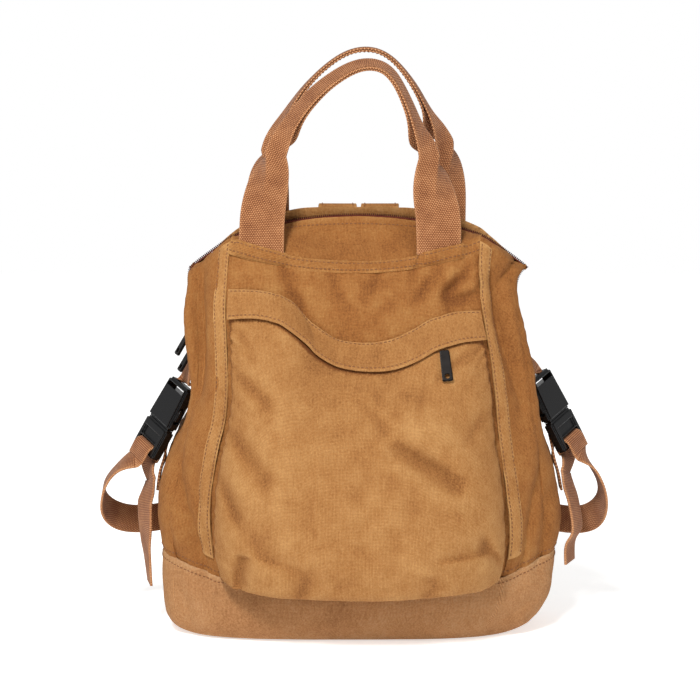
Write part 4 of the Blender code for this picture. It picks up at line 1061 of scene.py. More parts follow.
def pouch(share, row):
    """Points of the pouch's outer face at shares across and rows of the POUCH table."""
    share, row = matched(share, row)
    entry = mixed(POUCH, row)
    across = share * entry.spread * POUCH_SPAN
    low = skin("front", across, entry.level)
    top = wave_at(skin("front", across, 9.0)[..., 0], "lower")
    height = low[..., 2] + (top - low[..., 2]) * np.clip(entry.lift, 0.0, 1.0)
    risen = skin("front", across, level_at("front", across, height))
    base = np.where((entry.lift > 0)[..., None], risen, low)
    rim = pouch_rim(share)
    reach = POCKET_REACH * entry.reach * rim * (1 + fold_depth(POUCH_FOLDS, share, row * ROW_SHARE))
    tuck_up = POUCH_TUCK * (1 - rim) * np.maximum(1 - row / 4, 0.0)
    return base + np.stack([np.zeros_like(reach), -reach - POUCH_EASE, tuck_up], axis=-1)


# The places that settle stand closer near the side seams, where the pouch bends most
POUCH_LEFT, POUCH_RIGHT = np.linspace(0, 1, 31) ** 1.35, np.linspace(0, 1, 31) ** 0.74
POUCH_SHARES = np.concatenate([-(1 - POUCH_LEFT)[:-1], POUCH_RIGHT])
POUCH_ROWS = np.linspace(0, len(POUCH) - 1, 56)


def pouch_moves():
    share, row = np.meshgrid(POUCH_SHARES, POUCH_ROWS)
    held = np.zeros(share.shape)
    held[[0, -1]] = 1.0
    held[:, [0, -1]] = 1.0
    return settled("pouch", pouch(share, row), held, POUCH_LOOSER, POUCH_AIR, POUCH_CAP)


POUCH_MOVES = pouch_moves()


def cloth_pouch(share, row):
    """Points of the settled pouch, for a grid of places."""
    share, row = matched(share, row)
    column = np.interp(share, POUCH_SHARES, range(len(POUCH_SHARES)))
    line = np.interp(row, POUCH_ROWS, range(len(POUCH_ROWS)))
    return pouch(share, row) + sampled(POUCH_MOVES, line, column)


# %% [markdown]
# The pouch's own cloth is softer than the body's, with fewer wrinkles, but its side seams gather
# it, the left more than the right. Its worn lower edge is pale, and a painted shadow lies as a dark
# line along the other three edges, where it goes in under the zip band and the strips.

# %% The pouch's cloth
POUCH_COLUMNS, POUCH_LINES = 118, 124
POUCH_CRUMPLE, POUCH_WRINKLES = 0.55, 0.40
GATHER_LEFT, GATHER_RIGHT = 2.4, 1.6
# Reaches and strength of the painted shadow under the zip band and beside the side seams
TOP_SHADOW, SIDE_SHADOW, SHADOW = 0.0052, 0.0030, 0.9


def pocket():
    turn = np.linspace(-np.pi / 2, np.pi / 2, POUCH_COLUMNS) * 0.96
    share = np.sin(turn) / np.sin(np.pi / 2 * 0.96)
    row = np.linspace(0, len(POUCH) - 1, POUCH_LINES)
    base = cloth_pouch(share[None, :], row[:, None])
    normal = grid_normals(base)
    u, v = arcs(base)
    low, high, left, right = edge_gaps(base)
    uneven = crumple(u + 1.3, v + 0.7) * POUCH_CRUMPLE + wrinkles(u, v, 31) * POUCH_WRINKLES
    uneven = uneven + puckers(left, v, 0.4) * GATHER_LEFT + puckers(right, v, 1.1) * GATHER_RIGHT
    outer = base + normal * uneven[..., None]
    inner = outer - normal * CANVAS
    wear = np.exp(-low / 0.0035) * 0.4 + np.clip(uneven / PROUD, 0, 1) * 0.25
    # Painted shadow along the top edge and both side edges
    shade = np.exp(-((high / TOP_SHADOW) ** 4)) + bell(left, SIDE_SHADOW) + bell(right, SIDE_SHADOW)
    wear = np.clip(wear, 0, 1) - shade * SHADOW
    piece = cloth_wall("pocket_pouch_cloth", outer, inner, wear, CANVAS_CLOTH, (u, v))
    print("pouch", len(piece.data.polygons), "faces")
    return finish_piece(piece, "canvas", "pocket_pouch")


pocket()

# %% [markdown]
# ## The zip band
# A wavy band of cloth covers the pocket's zip. Its upper edge is sewn to the front, and its lower
# edge stands free over the zip, which is what throws the dark line under it.

# %% The zip band


def band_points(share, step, extra=0.0):
    """Points of the band: share across, step from its free lower edge to its sewn upper one."""
    across = share * POUCH_SPAN
    x = skin("front", across, 10.0)[..., 0]
    low, high = wave_at(x, "lower") - BAND_LAP, wave_at(x, "upper")
    level = level_at("front", across, low + (high - low) * step)
    proud = POUCH_EASE + POCKET_REACH * BAND_REACH * pouch_rim(share)
    part = np.interp(step, (0.0, 0.3, 0.65, 1.0), (1.0, 0.62, 0.22, 0.0))
    return cloth_skin("front", across, level, LAY_GAP + FLAP_CLOTH + proud * part + extra)


def zip_band():
    share, step = matched(np.linspace(-1, 1, 130)[None, :], np.linspace(0, 1, 22)[:, None])
    base = band_points(share, step)
    normal = grid_normals(base)
    u, v = arcs(base)
    gap = v[-1:] - v
    uneven = crumple(u + 0.2, v + 1.9) * 0.8 + puckers(gap, u, 2.0) * 0.5
    roll = bell(gap, 0.0015) * 0.0008 + bell(v, 0.0012) * 0.0004
    outer = base + normal * (uneven - roll)[..., None]
    inner = base - normal * FLAP_CLOTH
    wear = np.clip(np.exp(-v / 0.0018) * 0.35 + np.exp(-gap / 0.002) * 0.5, 0, 1)
    piece = cloth_wall("pocket_zip_band_cloth", outer, inner, wear, CANVAS_CLOTH, (u, v))
    print("zip band", len(piece.data.polygons), "faces")
    return finish_piece(piece, "canvas", "pocket_zip_band")


zip_band()

# %% [markdown]
# ## Webbing
# Cotton webbing is woven far more coarsely than canvas, as rows of short floats that step
# sideways from row to row, and those rows are what the eye sees. Its sides are closed by the
# returning weft, so they are smooth and a little lighter. Floats of 2.05 by 1.5 mm match it.

# %% Webbing material
WEBBING_COLORS = ("#5a301c", "#94592f", "#cb966a")
WEBBING_FLOAT = (0.00205, 0.00150)
WEBBING_MOTTLE = 0.0142857
WEBBING_BUMP = 0.0006


def webbing_material(name, colors):
    made, tree, shader = new_material(name)
    cloth = add(tree, "ShaderNodeUVMap", uv_map="cloth")
    body = add(tree, "ShaderNodeTexCoord").outputs["Object"]
    pace = (1 / WEBBING_FLOAT[0], 1 / WEBBING_FLOAT[1], 0)
    scaled = add(tree, VECTOR_MATH, (cloth, pace), operation="MULTIPLY")
    across, along = add(tree, "ShaderNodeSeparateXYZ", (scaled,)).outputs[:2]
    row = add(tree, MATH, (along,), operation="FLOOR")
    stepped = add(tree, MATH, (row, 0.5, across), operation="MULTIPLY_ADD")
    rounds = [thread_round(tree, place) for place in (along, stepped)]
    waves = [add(tree, MATH, (wave, 0.7), operation="POWER") for wave in rounds]
    floats = add(tree, MATH, waves, operation="MULTIPLY")
    patches = {"Vector": body, "Scale": 1 / WEBBING_MOTTLE, "Detail": 4.0, "Roughness": 0.6}
    mottle = add(tree, MATH, (add(tree, NOISE, patches), 0.5), operation="SUBTRACT")
    wear = add(tree, "ShaderNodeAttribute", attribute_name="wear").outputs["Fac"]
    worn_and_painted_shade = add(tree, MATH, (wear, 0.30), operation="MULTIPLY")
    # Painted light and shade: float tops lighter, gaps darker, with the hollows' painted shade too
    tone = add(tree, MATH, (floats, 0.80, worn_and_painted_shade), operation="MULTIPLY_ADD")
    patchy = add(tree, MATH, (mottle, 0.6, tone), operation="MULTIPLY_ADD")
    ramp = add(tree, "ShaderNodeValToRGB", (patchy,))
    set_stops(ramp, (0.05, colors[0]), (0.95, colors[2]), (0.42, colors[1]))
    relief = {"Strength": 0.8, "Distance": WEBBING_BUMP, "Height": floats}
    rough = add(tree, "ShaderNodeMapRange", {0: floats, 3: 0.95, 4: 0.78})
    bump = add(tree, "ShaderNodeBump", relief)
    feed(tree, shader, {"Base Color": ramp, "Normal": bump, "Roughness": rough})
    feed(tree, shader, {"Sheen Weight": 0.10, "Specular IOR Level": 0.25})
    return made


WEBBING = webbing_material("woven cotton webbing", WEBBING_COLORS)
print("webbing drawn with floats", [round(size * 1000, 2) for size in WEBBING_FLOAT], "mm")

# %% [markdown]
# A strap is swept along its path with one cross-section. The same sweep makes the carry handles,
# which are flat where they are sewn on and folded in half lengthwise at the grip. The half on the
# outer side turns back round the middle line, as the page of a book does, until the two meet.

# %% Sweeping webbing
WEBBING_THICK = 0.0020
STRAP_WEBBING = 0.025
FLAT_SHARES = (-1, -0.97, -0.8, -0.4, 0, 0.4, 0.8, 0.97, 1)
BOOK_SHARES = (-1, -0.97, -0.88, -0.66, -0.42, -0.25, -0.15, -0.1, -0.06, -0.03, 0)
FOLD_TURN = 0.078
FOLD_STEPS = 800
# The webbing thins to this share at its woven sides, and this much wear shows on a fold's edge
SELVEDGE, FOLD_WEAR = 0.45, 0.7


def book_section(half, folds):
    """Cross-sections of webbing folded lengthwise by folds, from 0, flat, to 1, shut."""
    shares = np.array(BOOK_SHARES + tuple(-share for share in BOOK_SHARES[-2::-1]))
    fine = np.linspace(-1, 1, FOLD_STEPS + 1)
    ease = eased(np.clip((fine + FOLD_TURN) / (2 * FOLD_TURN), 0, 1))
    turned = -np.pi * np.asarray(folds)[:, None] * (1 - ease)[None, :]
    step = fine[1] - fine[0]
    x = np.cumsum(np.cos(turned), axis=1) * step * half[:, None]
    y = np.cumsum(np.sin(turned), axis=1) * step * half[:, None]
    middle = (x.max(axis=1) + x.min(axis=1)) / 2
    # The half that stays flat keeps to the path, so its own middle has no height
    flat_middle = FOLD_STEPS * 3 // 4
    x, y = x - middle[:, None], y - y[:, flat_middle : flat_middle + 1]
    picked = np.searchsorted(fine, shares).clip(0, FOLD_STEPS)
    return shares, x[:, picked], y[:, picked], turned[:, picked]


def swept(name, centres, widths, directions, folds, thick, material, slot, nodes, flat=False):
    """Webbing through centres, each with its width, its width's direction and its fold."""
    centres = np.array(centres, dtype=float)
    along = unit(np.gradient(centres, axis=0))
    across = np.array(directions, dtype=float)
    across = unit(across - along * (across * along).sum(axis=1, keepdims=True))
    normal = np.cross(along, across)
    half = np.asarray(widths) / 2
    if flat:
        shares = np.array(FLAT_SHARES, dtype=float)
        x = shares[None, :] * half[:, None]
        y, turned = np.zeros_like(x), np.zeros_like(x)
    else:
        shares, x, y, turned = book_section(half, folds)
    wall = np.asarray(thick)[:, None] / 2 * np.where(np.abs(shares) > 0.99, SELVEDGE, 1.0)[None, :]
    grids = []
    for sign in (1, -1):
        px, py = x - sign * wall * np.sin(turned), y + sign * wall * np.cos(turned)
        place = centres[:, None] + across[:, None] * px[..., None] + normal[:, None] * py[..., None]
        grids.append(place)
    run = np.concatenate([[0], np.linalg.norm(np.diff(centres, axis=0), axis=1).cumsum()])
    u = np.broadcast_to(shares[None, :] * half[:, None] + 0.0005, x.shape)
    v = np.broadcast_to(run[:, None], x.shape)
    wear = np.exp(-((1 - np.abs(shares)) / 0.07))[None, :]
    wear = wear + np.asarray(folds)[:, None] * bell(shares, 0.10)[None, :] * FOLD_WEAR
    piece = cloth_wall(name, *grids, np.broadcast_to(wear, x.shape), material, (u, v))
    finish_piece(piece, slot, *nodes)
    return piece, grids


def smooth_rows(rows, pieces):
    """A table's columns read at even places between its rows."""
    places = np.linspace(0, len(rows) - 1, (len(rows) - 1) * pieces + 1)
    return mixed(rows, places)


Point = namedtuple("Point", "x y z")


def smooth_path(points, pieces):
    """Even places on a smooth curve through points."""
    return np.stack(smooth_rows([Point(*p) for p in points], pieces), axis=-1)


# %% [markdown]
# ## Carry handles
# Each handle is one length of 38 mm webbing. Its table gives stations over the arch as shares of
# its span and rise, how far the webbing has turned its front edge to the viewer, and how far it
# is folded. Its feet lie flat on the cloth, so their ends are read from the skin.

# %% Handle tables
HANDLE_WEBBING = 0.038
HANDLE_RISE = 0.152
HANDLE_SPAN = 0.176
FRONT_FOOT, BACK_FOOT = 13.08, 13.2

Grip = namedtuple("Grip", "x rise back turn fold")
FRONT_GRIP = (
    Grip(-0.920, 0.137, 0.02, 1.0, 0.00),
    Grip(-0.870, 0.302, 0.06, 3.0, 0.14),
    Grip(-0.808, 0.445, 0.13, 8.0, 0.34),
    Grip(-0.756, 0.545, 0.19, 20.0, 0.62),
    Grip(-0.645, 0.672, 0.28, 46.0, 0.93),
    Grip(-0.422, 0.834, 0.40, 54.0, 0.98),
    Grip(-0.134, 0.960, 0.55, 60.0, 1.00),
    Grip(0.106, 1.005, 0.62, 64.0, 1.00),
    Grip(0.320, 0.963, 0.56, 68.0, 1.00),
    Grip(0.484, 0.808, 0.42, 70.0, 0.98),
    Grip(0.593, 0.648, 0.28, 60.0, 0.93),
    Grip(0.670, 0.548, 0.19, 34.0, 0.64),
    Grip(0.715, 0.420, 0.11, 12.0, 0.34),
    Grip(0.742, 0.285, 0.06, 4.0, 0.14),
    Grip(0.790, 0.140, 0.02, 1.0, 0.00),
)
BACK_GRIP = (
    Grip(-0.892, 0.180, 0.02, 1.0, 0.00),
    Grip(-0.885, 0.330, 0.06, 4.0, 0.14),
    Grip(-0.856, 0.450, 0.12, 12.0, 0.36),
    Grip(-0.830, 0.560, 0.16, 34.0, 0.66),
    Grip(-0.720, 0.705, 0.24, 70.0, 0.94),
    Grip(-0.480, 0.900, 0.36, 84.0, 0.99),
    Grip(-0.166, 1.052, 0.46, 86.0, 1.00),
    Grip(0.107, 1.092, 0.50, 86.0, 1.00),
    Grip(0.342, 1.040, 0.46, 86.0, 1.00),
    Grip(0.560, 0.892, 0.38, 82.0, 0.99),
    Grip(0.717, 0.730, 0.26, 76.0, 0.94),
    Grip(0.830, 0.610, 0.18, 48.0, 0.66),
    Grip(0.886, 0.500, 0.12, 20.0, 0.38),
    Grip(0.882, 0.372, 0.07, 8.0, 0.16),
    Grip(0.866, 0.180, 0.02, 1.0, 0.00),
)

# %% Handles
HANDLE_PIECES = 8
# A fold that is all but shut, so that its two layers don't touch
SHUT_FOLD = 0.992
FOOT_CLEAR = 0.0003
FOOT_LEVELS = {"front": (FRONT_FOOT, 13.0, 12.92, 12.84), "back": (BACK_FOOT, 12.7, 12.2)}


def foot_middle(face, x, level):
    """Where a handle's foot lies on the cloth, and the direction across it."""
    across = float(across_at(face, np.array(x), np.array(level)))
    lift = LAY_GAP + WEBBING_THICK / 2 + FOOT_CLEAR
    place = skin(face, across, level) + skin_normal(face, across, level) * lift
    tangent = unit(skin(face, across + 0.05, level) - skin(face, across - 0.05, level))
    return place, tangent


def evened(points, passes):
    """A line of points relaxed towards the middle of their neighbours, its ends kept."""
    for _ in range(passes):
        points[1:-1] = points[1:-1] * 0.5 + (points[:-2] + points[2:]) * 0.25
    return points


def handle(name, face, grips):
    rows = smooth_rows(grips, HANDLE_PIECES)
    hem = float(skin("front", 0.85, HEM_SEAM)[2])
    reach = HANDLE_SPAN / 2
    levels = FOOT_LEVELS[face]
    sides = (grips[0].x, grips[-1].x)
    ends = [[foot_middle(face, x * reach, level) for level in levels] for x in sides]
    foot_y = float(ends[1][0][0][1])
    arch = (rows.x * reach, foot_y * (1 - rows.back), hem + rows.rise * HANDLE_RISE)
    centres = np.stack(arch, axis=-1)
    along = unit(np.gradient(centres, axis=0))
    inward = unit(np.cross((0.0, 1.0, 0.0), along))
    turn = np.radians(rows.turn)[:, None]
    towards = np.array((0.0, -1.0, 0.0)) * np.sin(turn) + inward * np.cos(turn)
    start = [place for place, _ in reversed(ends[0])]
    finish = [place for place, _ in ends[1]]
    centres = evened(np.concatenate([start, centres, finish]), 8)
    before = [tangent for _, tangent in reversed(ends[0])]
    after = [-tangent for _, tangent in ends[1]]
    directions = np.concatenate([before, towards, after])
    flat_feet = np.zeros(len(levels))
    folds = np.concatenate([flat_feet, np.clip(rows.fold, 0, SHUT_FOLD), flat_feet])
    folds = evened(folds, 4)
    widths = np.full(len(centres), HANDLE_WEBBING)
    thick = WEBBING_THICK * (1 - 0.25 * folds)
    way = (centres, widths, directions, folds, thick)
    piece, grids = swept(name + "_webbing", *way, WEBBING, "webbing", [name])
    print(piece.name, len(centres), "stations")
    # Both layers of the grip are sewn together near their edges
    shut = np.flatnonzero(folds > 0.9)
    outward = unit(grids[1] - grids[0])
    for column in (-3, 2):
        SEWN_LINES.append((grids[1][shut, column], outward[shut, column]))
    return piece


SEWN_LINES = []
handle("handle_front", "front", FRONT_GRIP)
handle("handle_back", "back", BACK_GRIP)

# %% [markdown]
# ## Shoulder straps
# Each strap starts as a padded canvas band sewn to the back's top edge. It bows away from the
# back, and 25 mm webbing is sewn behind its end. The webbing loops round the side, goes through
# the buckle's plug and ends in a free tail, so its way is three tables joined by the slot.
# The band's top end is thinned and laid over the lip behind the zip, where its seam would be.

# %% Strap tables
BAND_WIDTH, BAND_THICK = 0.033, 0.0040
BAND_TAPER, BAND_END = 0.022, 0.4
BAND_PLACE = 0.26
# The band's top: levels past the back's edge, with metres backwards and up over the lip
BAND_OVER = ((0.99, 0.0013, 0.0076), (0.90, 0.0016, 0.0035))
# and then down the back, with the metres that it stands off the cloth
BAND_DOWN = ((0.56, 0.0), (0.3, 0.0008), (0.0, 0.0016), (-0.3, 0.0016))
LOOP_REACH = 0.0425
BUCKLE_WIDTH, BUCKLE_THICK = 0.036, 0.0115
SOCKET_LENGTH, PLUG_LENGTH = 0.040, 0.029
BUCKLE_FACE, BUCKLE_CLEAR, BUCKLE_BACK = 38.0, 0.0005, 0.009
WRAP = 0.0016

Run = namedtuple("Run", "x y rise reach width_x width_y width_z")
BAND_RUN = (
    Run(0.110, 0.56, 0.960, 0.0, 1.0, 0.00, 0.00),
    Run(0.150, 0.82, 0.890, 0.0, 1.0, 0.02, 0.02),
    Run(0.210, 1.10, 0.780, 0.0, 1.0, 0.04, 0.05),
    Run(0.290, 1.33, 0.640, 0.0, 1.0, 0.06, 0.10),
    Run(0.390, 1.42, 0.500, 0.0, 1.0, 0.08, 0.20),
    Run(0.480, 1.40, 0.400, 0.0, 1.0, 0.08, 0.34),
)
LOOP_LEFT = (
    Run(0.640, 1.36, 0.300, 0.00, 0.80, 0.05, 0.60),
    Run(0.820, 1.22, 0.246, 0.00, 0.50, 0.00, 0.86),
    Run(1.000, 0.86, 0.228, 0.16, 0.15, 0.00, 1.00),
    Run(1.050, 0.56, 0.240, 0.66, 0.05, 0.20, 0.98),
    Run(1.050, 0.34, 0.285, 1.00, 0.00, 0.60, 0.80),
    Run(1.050, 0.22, 0.340, 0.94, -0.05, 0.90, 0.40),
    Run(1.050, 0.12, 0.392, 0.60, -0.10, 0.96, 0.20),
)
LOOP_RIGHT = (
    Run(0.640, 1.36, 0.300, 0.00, 0.80, 0.05, 0.60),
    Run(0.830, 1.22, 0.246, 0.00, 0.50, 0.00, 0.86),
    Run(1.010, 0.86, 0.226, 0.14, 0.15, 0.00, 1.00),
    Run(1.060, 0.56, 0.238, 0.52, 0.05, 0.00, 1.00),
    Run(1.050, 0.34, 0.282, 0.82, -0.05, 0.25, 0.96),
    Run(1.040, 0.20, 0.340, 0.82, -0.35, 0.55, 0.75),
    Run(1.050, 0.12, 0.398, 0.50, -0.45, 0.75, 0.45),
)
TAIL_LEFT = (
    Run(1.040, 0.12, 0.358, 0.0, 0.28, 0.95, 0.00),
    Run(1.054, 0.05, 0.327, 0.0, 0.45, 0.88, 0.00),
    Run(1.066, -0.02, 0.300, 0.0, 0.52, 0.85, 0.00),
    Run(1.062, -0.08, 0.250, 0.0, 0.50, 0.86, 0.00),
    Run(1.062, -0.07, 0.205, 0.0, 0.38, 0.92, 0.00),
    Run(1.055, -0.06, 0.170, 0.0, 0.30, 0.95, 0.00),
    Run(1.045, -0.06, 0.106, 0.0, 0.22, 0.97, 0.00),
)
TAIL_RIGHT = (
    Run(1.052, 0.12, 0.376, 0.0, 0.30, 0.94, 0.00),
    Run(1.066, 0.05, 0.342, 0.0, 0.40, 0.90, 0.00),
    Run(1.088, -0.03, 0.304, 0.0, 0.40, 0.90, 0.00),
    Run(1.105, -0.10, 0.243, 0.0, 0.42, 0.90, 0.00),
    Run(1.070, -0.08, 0.208, 0.0, 0.42, 0.90, 0.00),
    Run(1.070, -0.08, 0.160, 0.0, 0.40, 0.90, 0.00),
)
# The way through the plug's slot: metres past the plug's end, and shares of its half depth
STRAP_WRAP = (
    (0.0040, 1.00),
    (-0.0040, 1.00),
    (-0.0080, 0.55),
    (-0.0080, -0.55),
    (-0.0040, -1.00),
    (0.0080, -1.15),
)
Hang = namedtuple("Hang", "out rise tilt loop tail")
HANGS = {
    -1: Hang(0.982, 0.495, 29.0, LOOP_LEFT, TAIL_LEFT),
    1: Hang(1.002, 0.514, 27.0, LOOP_RIGHT, TAIL_RIGHT),
}

# %% Straps


def buckle_frame(side):
    """Origin at the joint of socket and plug; axes across, along towards the plug, outwards."""
    hang = HANGS[side]
    tilt, face = math.radians(hang.tilt), math.radians(BUCKLE_FACE)
    along = Vector((side * math.sin(tilt), 0, -math.cos(tilt)))
    out = Vector((side * math.cos(tilt), 0, math.sin(tilt)))
    normal = out * math.cos(face) + Vector((0, -1, 0)) * math.sin(face)
    made = Matrix((along.cross(normal), along, normal)).transposed().to_4x4()
    made.translation = Vector((side * hang.out * HALF_WIDTH, BUCKLE_BACK, hang.rise * BODY_HEIGHT))
    return made


def run_points(side, rows):
    centres, widths = [], []
    for row in rows:
        x = side * (row.x * HALF_WIDTH + row.reach * LOOP_REACH)
        centres.append((x, row.y * HALF_DEPTH, row.rise * BODY_HEIGHT))
        widths.append((side * row.width_x, row.width_y, row.width_z))
    return centres, widths


def strap(name, path, turns, width, thick, material, slot, node):
    even = np.ones(len(path))
    way = (path, even * width, turns, even * 0, even * thick)
    return swept(name, *way, material, slot, [node], flat=True)


def shoulder_band(side, word):
    """The padded band, and its path, from which the webbing goes on."""
    lift = LAY_GAP + BAND_THICK / 2
    start = []
    for step, back, rise in BAND_OVER:
        place = skin("back", side * BAND_PLACE, BACK_EDGE + step) + np.array((0, back, rise))
        start.append(tuple(place))
    for step, ease in BAND_DOWN:
        spot = ("back", side * BAND_PLACE, BACK_EDGE + step)
        start.append(tuple(skin(*spot) + skin_normal(*spot) * (lift + ease)))
    centres, widths = run_points(side, BAND_RUN)
    path = smooth_path(start + centres, 8)
    turns = smooth_path([(side, 0, 0)] * len(start) + widths, 8)
    gone = np.concatenate([[0.0], np.cumsum(np.linalg.norm(np.diff(path, axis=0), axis=1))])
    thick = BAND_THICK * np.interp(gone, (0.0, BAND_TAPER), (BAND_END, 1.0))
    name = f"shoulder_band_{word}"
    label = name + "_padded"
    band, grids = strap(label, path, turns, BAND_WIDTH, thick, CANVAS_CLOTH, "canvas", name)
    for grid, other in (grids, grids[::-1]):
        for column in (2, 6):
            SEWN_LINES.append((grid[12:-2, column], unit(grid - other)[12:-2, column]))
    return path, widths[-2]


def shoulder_webbing(side, word, band_path, band_turn):
    """The webbing from behind the band's end, round the side and through the plug to its tail."""
    behind = np.array((0, BAND_THICK / 2 + WEBBING_THICK / 2 + LAY_GAP, 0))
    sewn = [band_path[-9] + behind, band_path[-1] + behind]
    loop, loop_widths = run_points(side, HANGS[side].loop)
    made = buckle_frame(side)
    flat = tuple(made.to_3x3() @ Vector((-side, 0, 0)))
    out = BUCKLE_THICK * 0.46 + WRAP
    ways = ((0.008, 1.0), *STRAP_WRAP)
    wrap = [tuple(made @ Vector((0, PLUG_LENGTH + step, out * share))) for step, share in ways]
    path = evened(smooth_path(sewn + loop + wrap[:1], 12), 30)
    turns = evened(smooth_path([band_turn] * 2 + loop_widths + [flat], 12), 30)
    tail, tail_widths = run_points(side, HANGS[side].tail)
    wrapped = smooth_path(wrap + [tail[0]], 6)[1:]
    wrapped_turns = smooth_path([flat] * len(wrap) + [tail_widths[0]], 6)[1:]
    path = np.concatenate([path, wrapped, evened(smooth_path(tail, 12), 12)[1:]])
    turns = np.concatenate([turns, wrapped_turns, smooth_path(tail_widths, 12)[1:]])
    turns = evened(unit(turns), 12)
    name = f"shoulder_webbing_{word}"
    strap(name + "_weave", path, turns, STRAP_WEBBING, WEBBING_THICK, WEBBING, "webbing", name)
    print(name, len(path), "stations")


def side_point(side, level, middle, reach):
    """A point over the side at a level, clear of the skin for this reach either way in depth."""
    across = side * np.linspace(2.2, 3, 9)
    places = np.concatenate([skin(face, across, float(level)) for face in ("front", "back")])
    near = places[np.abs(places[:, 1] - middle) < reach]
    proud = (side * near[:, 0]).max()
    return (side * (proud + 2 * LAY_GAP + WEBBING_THICK / 2), middle, float(places[-1, 2]))


def buckle_tabs(side, word):
    made = buckle_frame(side)
    flat = made.to_3x3() @ Vector((-side, 0, 0))
    root = Vector(side_point(side, 9.8, 0.0, STRAP_WEBBING / 2)) + Vector((side * LAY_GAP, 0, 0))
    ends = [made @ Vector((0, -SOCKET_LENGTH - WRAP * step, 0)) for step in (0.9, 3.5)]
    path = smooth_path([tuple(p) for p in ends + [root]], 8)
    turns = smooth_path([tuple(flat), tuple(flat.lerp(Vector((0, 1, 0)), 0.4)), (0, 1, 0)], 8)
    name = f"buckle_tab_{word}"
    strap(name + "_weave", path, turns, STRAP_WEBBING * 0.9, WEBBING_THICK, WEBBING, "webbing", name)
    middle = BUCKLE_BACK + 0.003
    low = [side_point(side, level, middle, STRAP_WEBBING / 2) for level in (5.5, 6.0, 6.4)]
    top = tuple(made @ Vector((0, PLUG_LENGTH * 0.30, -BUCKLE_THICK / 2 - WRAP * 2.4)))
    path = smooth_path(low + [top], 8)
    turns = smooth_path([(0, 1, 0)] * 3 + [tuple(flat)], 8)
    name = f"anchor_tab_{word}"
    strap(name + "_weave", path, turns, STRAP_WEBBING * 0.7, WEBBING_THICK, WEBBING, "webbing", name)


for side, word in SIDES.items():
    shoulder_webbing(side, word, *shoulder_band(side, word))
    buckle_tabs(side, word)

# %% [markdown]
# ## The main zip
# A coil zip is a nylon thread wound into a row of small loops, sewn to a woven tape. Each loop
# is one tooth, so the coil is made by Geometry Nodes: the zip's line is resampled at the teeth's
# pitch and one small loop is set on every point, turned to follow the line.

# %% Zip
ZIP_TEETH, ZIP_THICK, ZIP_THREAD = 0.0046, 0.0008, 0.00042
ZIP_PITCH = 0.00165
# How far the zip stands up over the ridge's line, and where it comes down to it again
ZIP_PROUD, ZIP_ENDS = 0.0020, 2.4
SEAM_GAP = 0.0004
ZIP_GRAIN = 0.00111111


def zip_line():
    """The zip's way from one side over the ridge to the other, and its outward directions."""
    stretch = np.linspace(ZIP_END + 0.58, RIDGE, 30)
    across = np.concatenate([np.full(29, -3.0), np.linspace(-3, 3, 121), np.full(29, 3.0)])
    level = np.concatenate([stretch[:-1], np.full(121, float(RIDGE)), stretch[-2::-1]])
    line = skin("front", across, level)
    line[:, 1] = 0.0
    line = evened(line, 14)
    along = unit(np.gradient(line, axis=0))
    out = unit(np.stack([-along[:, 2], np.zeros(len(line)), along[:, 0]], axis=-1))
    line = line + out * (ZIP_PROUD * crown(across, ZIP_ENDS))[:, None]
    return line, out


def zip_material(name, dark, light, roughness):
    made, tree, shader = new_material(name)
    body = add(tree, "ShaderNodeTexCoord").outputs["Object"]
    grain = add(tree, NOISE, {"Vector": body, "Scale": 1 / ZIP_GRAIN, "Detail": 2.0})
    ramp = add(tree, "ShaderNodeValToRGB", (grain,))
    set_stops(ramp, (0.3, dark), (0.75, light))
    bump = add(tree, "ShaderNodeBump", {"Strength": 0.4, "Distance": 0.0002, "Height": grain})
    feed(tree, shader, {"Base Color": ramp, "Normal": bump})
    feed(tree, shader, {"Roughness": roughness, "Specular IOR Level": 0.2})
    return made


ZIP_WEAVE = zip_material("woven zip tape", "#4e2016", "#7a3a28", 0.85)
ZIP_COIL = zip_material("nylon zip coil", "#36130f", "#5c261b", 0.55)


ROD_SIDES = 5
ROD_TURNS = [2 * math.pi * j / ROD_SIDES for j in range(ROD_SIDES)]


def rod(name, rings):
    """A small closed rod through rings of points, as an object to be repeated."""
    shaping = bmesh.new()
    rings = [[shaping.verts.new(place) for place in ring] for ring in rings]
    for low, high in zip(rings, rings[1:]):
        for j in range(ROD_SIDES):
            k = (j + 1) % ROD_SIDES
            shaping.faces.new((low[j], low[k], high[k], high[j]))
    shaping.faces.new(rings[0][::-1])
    shaping.faces.new(rings[-1])
    bmesh.ops.recalc_face_normals(shaping, faces=shaping.faces)
    mesh = bpy.data.meshes.new(name)
    shaping.to_mesh(mesh)
    shaping.free()
    mesh.shade_smooth()
    return placed(name, mesh)


def tooth(steps=8):
    """One loop of the coil: a rod bent over the zip's line, 42 faces."""
    reach, height = ZIP_TEETH / 2 * 0.92, ZIP_THICK * 1.5
    rings = []
    for i in range(steps + 1):
        way = -math.pi / 2 + math.pi * i / steps
        middle = Vector((0, math.sin(way) * reach, math.cos(way) * height))
        ahead = Vector((0, math.cos(way) * reach, -math.sin(way) * height)).normalized()
        up = Vector((1, 0, 0)).cross(ahead)
        offsets = [Vector((1, 0, 0)) * math.cos(turn) + up * math.sin(turn) for turn in ROD_TURNS]
        rings.append([middle + offset * ZIP_THREAD for offset in offsets])
    return rod("tooth", rings)


# %% [markdown]
# One Geometry Nodes tree serves everything that repeats along a line, here zip teeth and later
# stitches. It turns the line's edges into a curve, resamples it by pitch, and sets a copy of the
# small mesh on each point. The copy's X follows the line, and its Z the stored outward direction.

# %% A tree for what repeats along a line


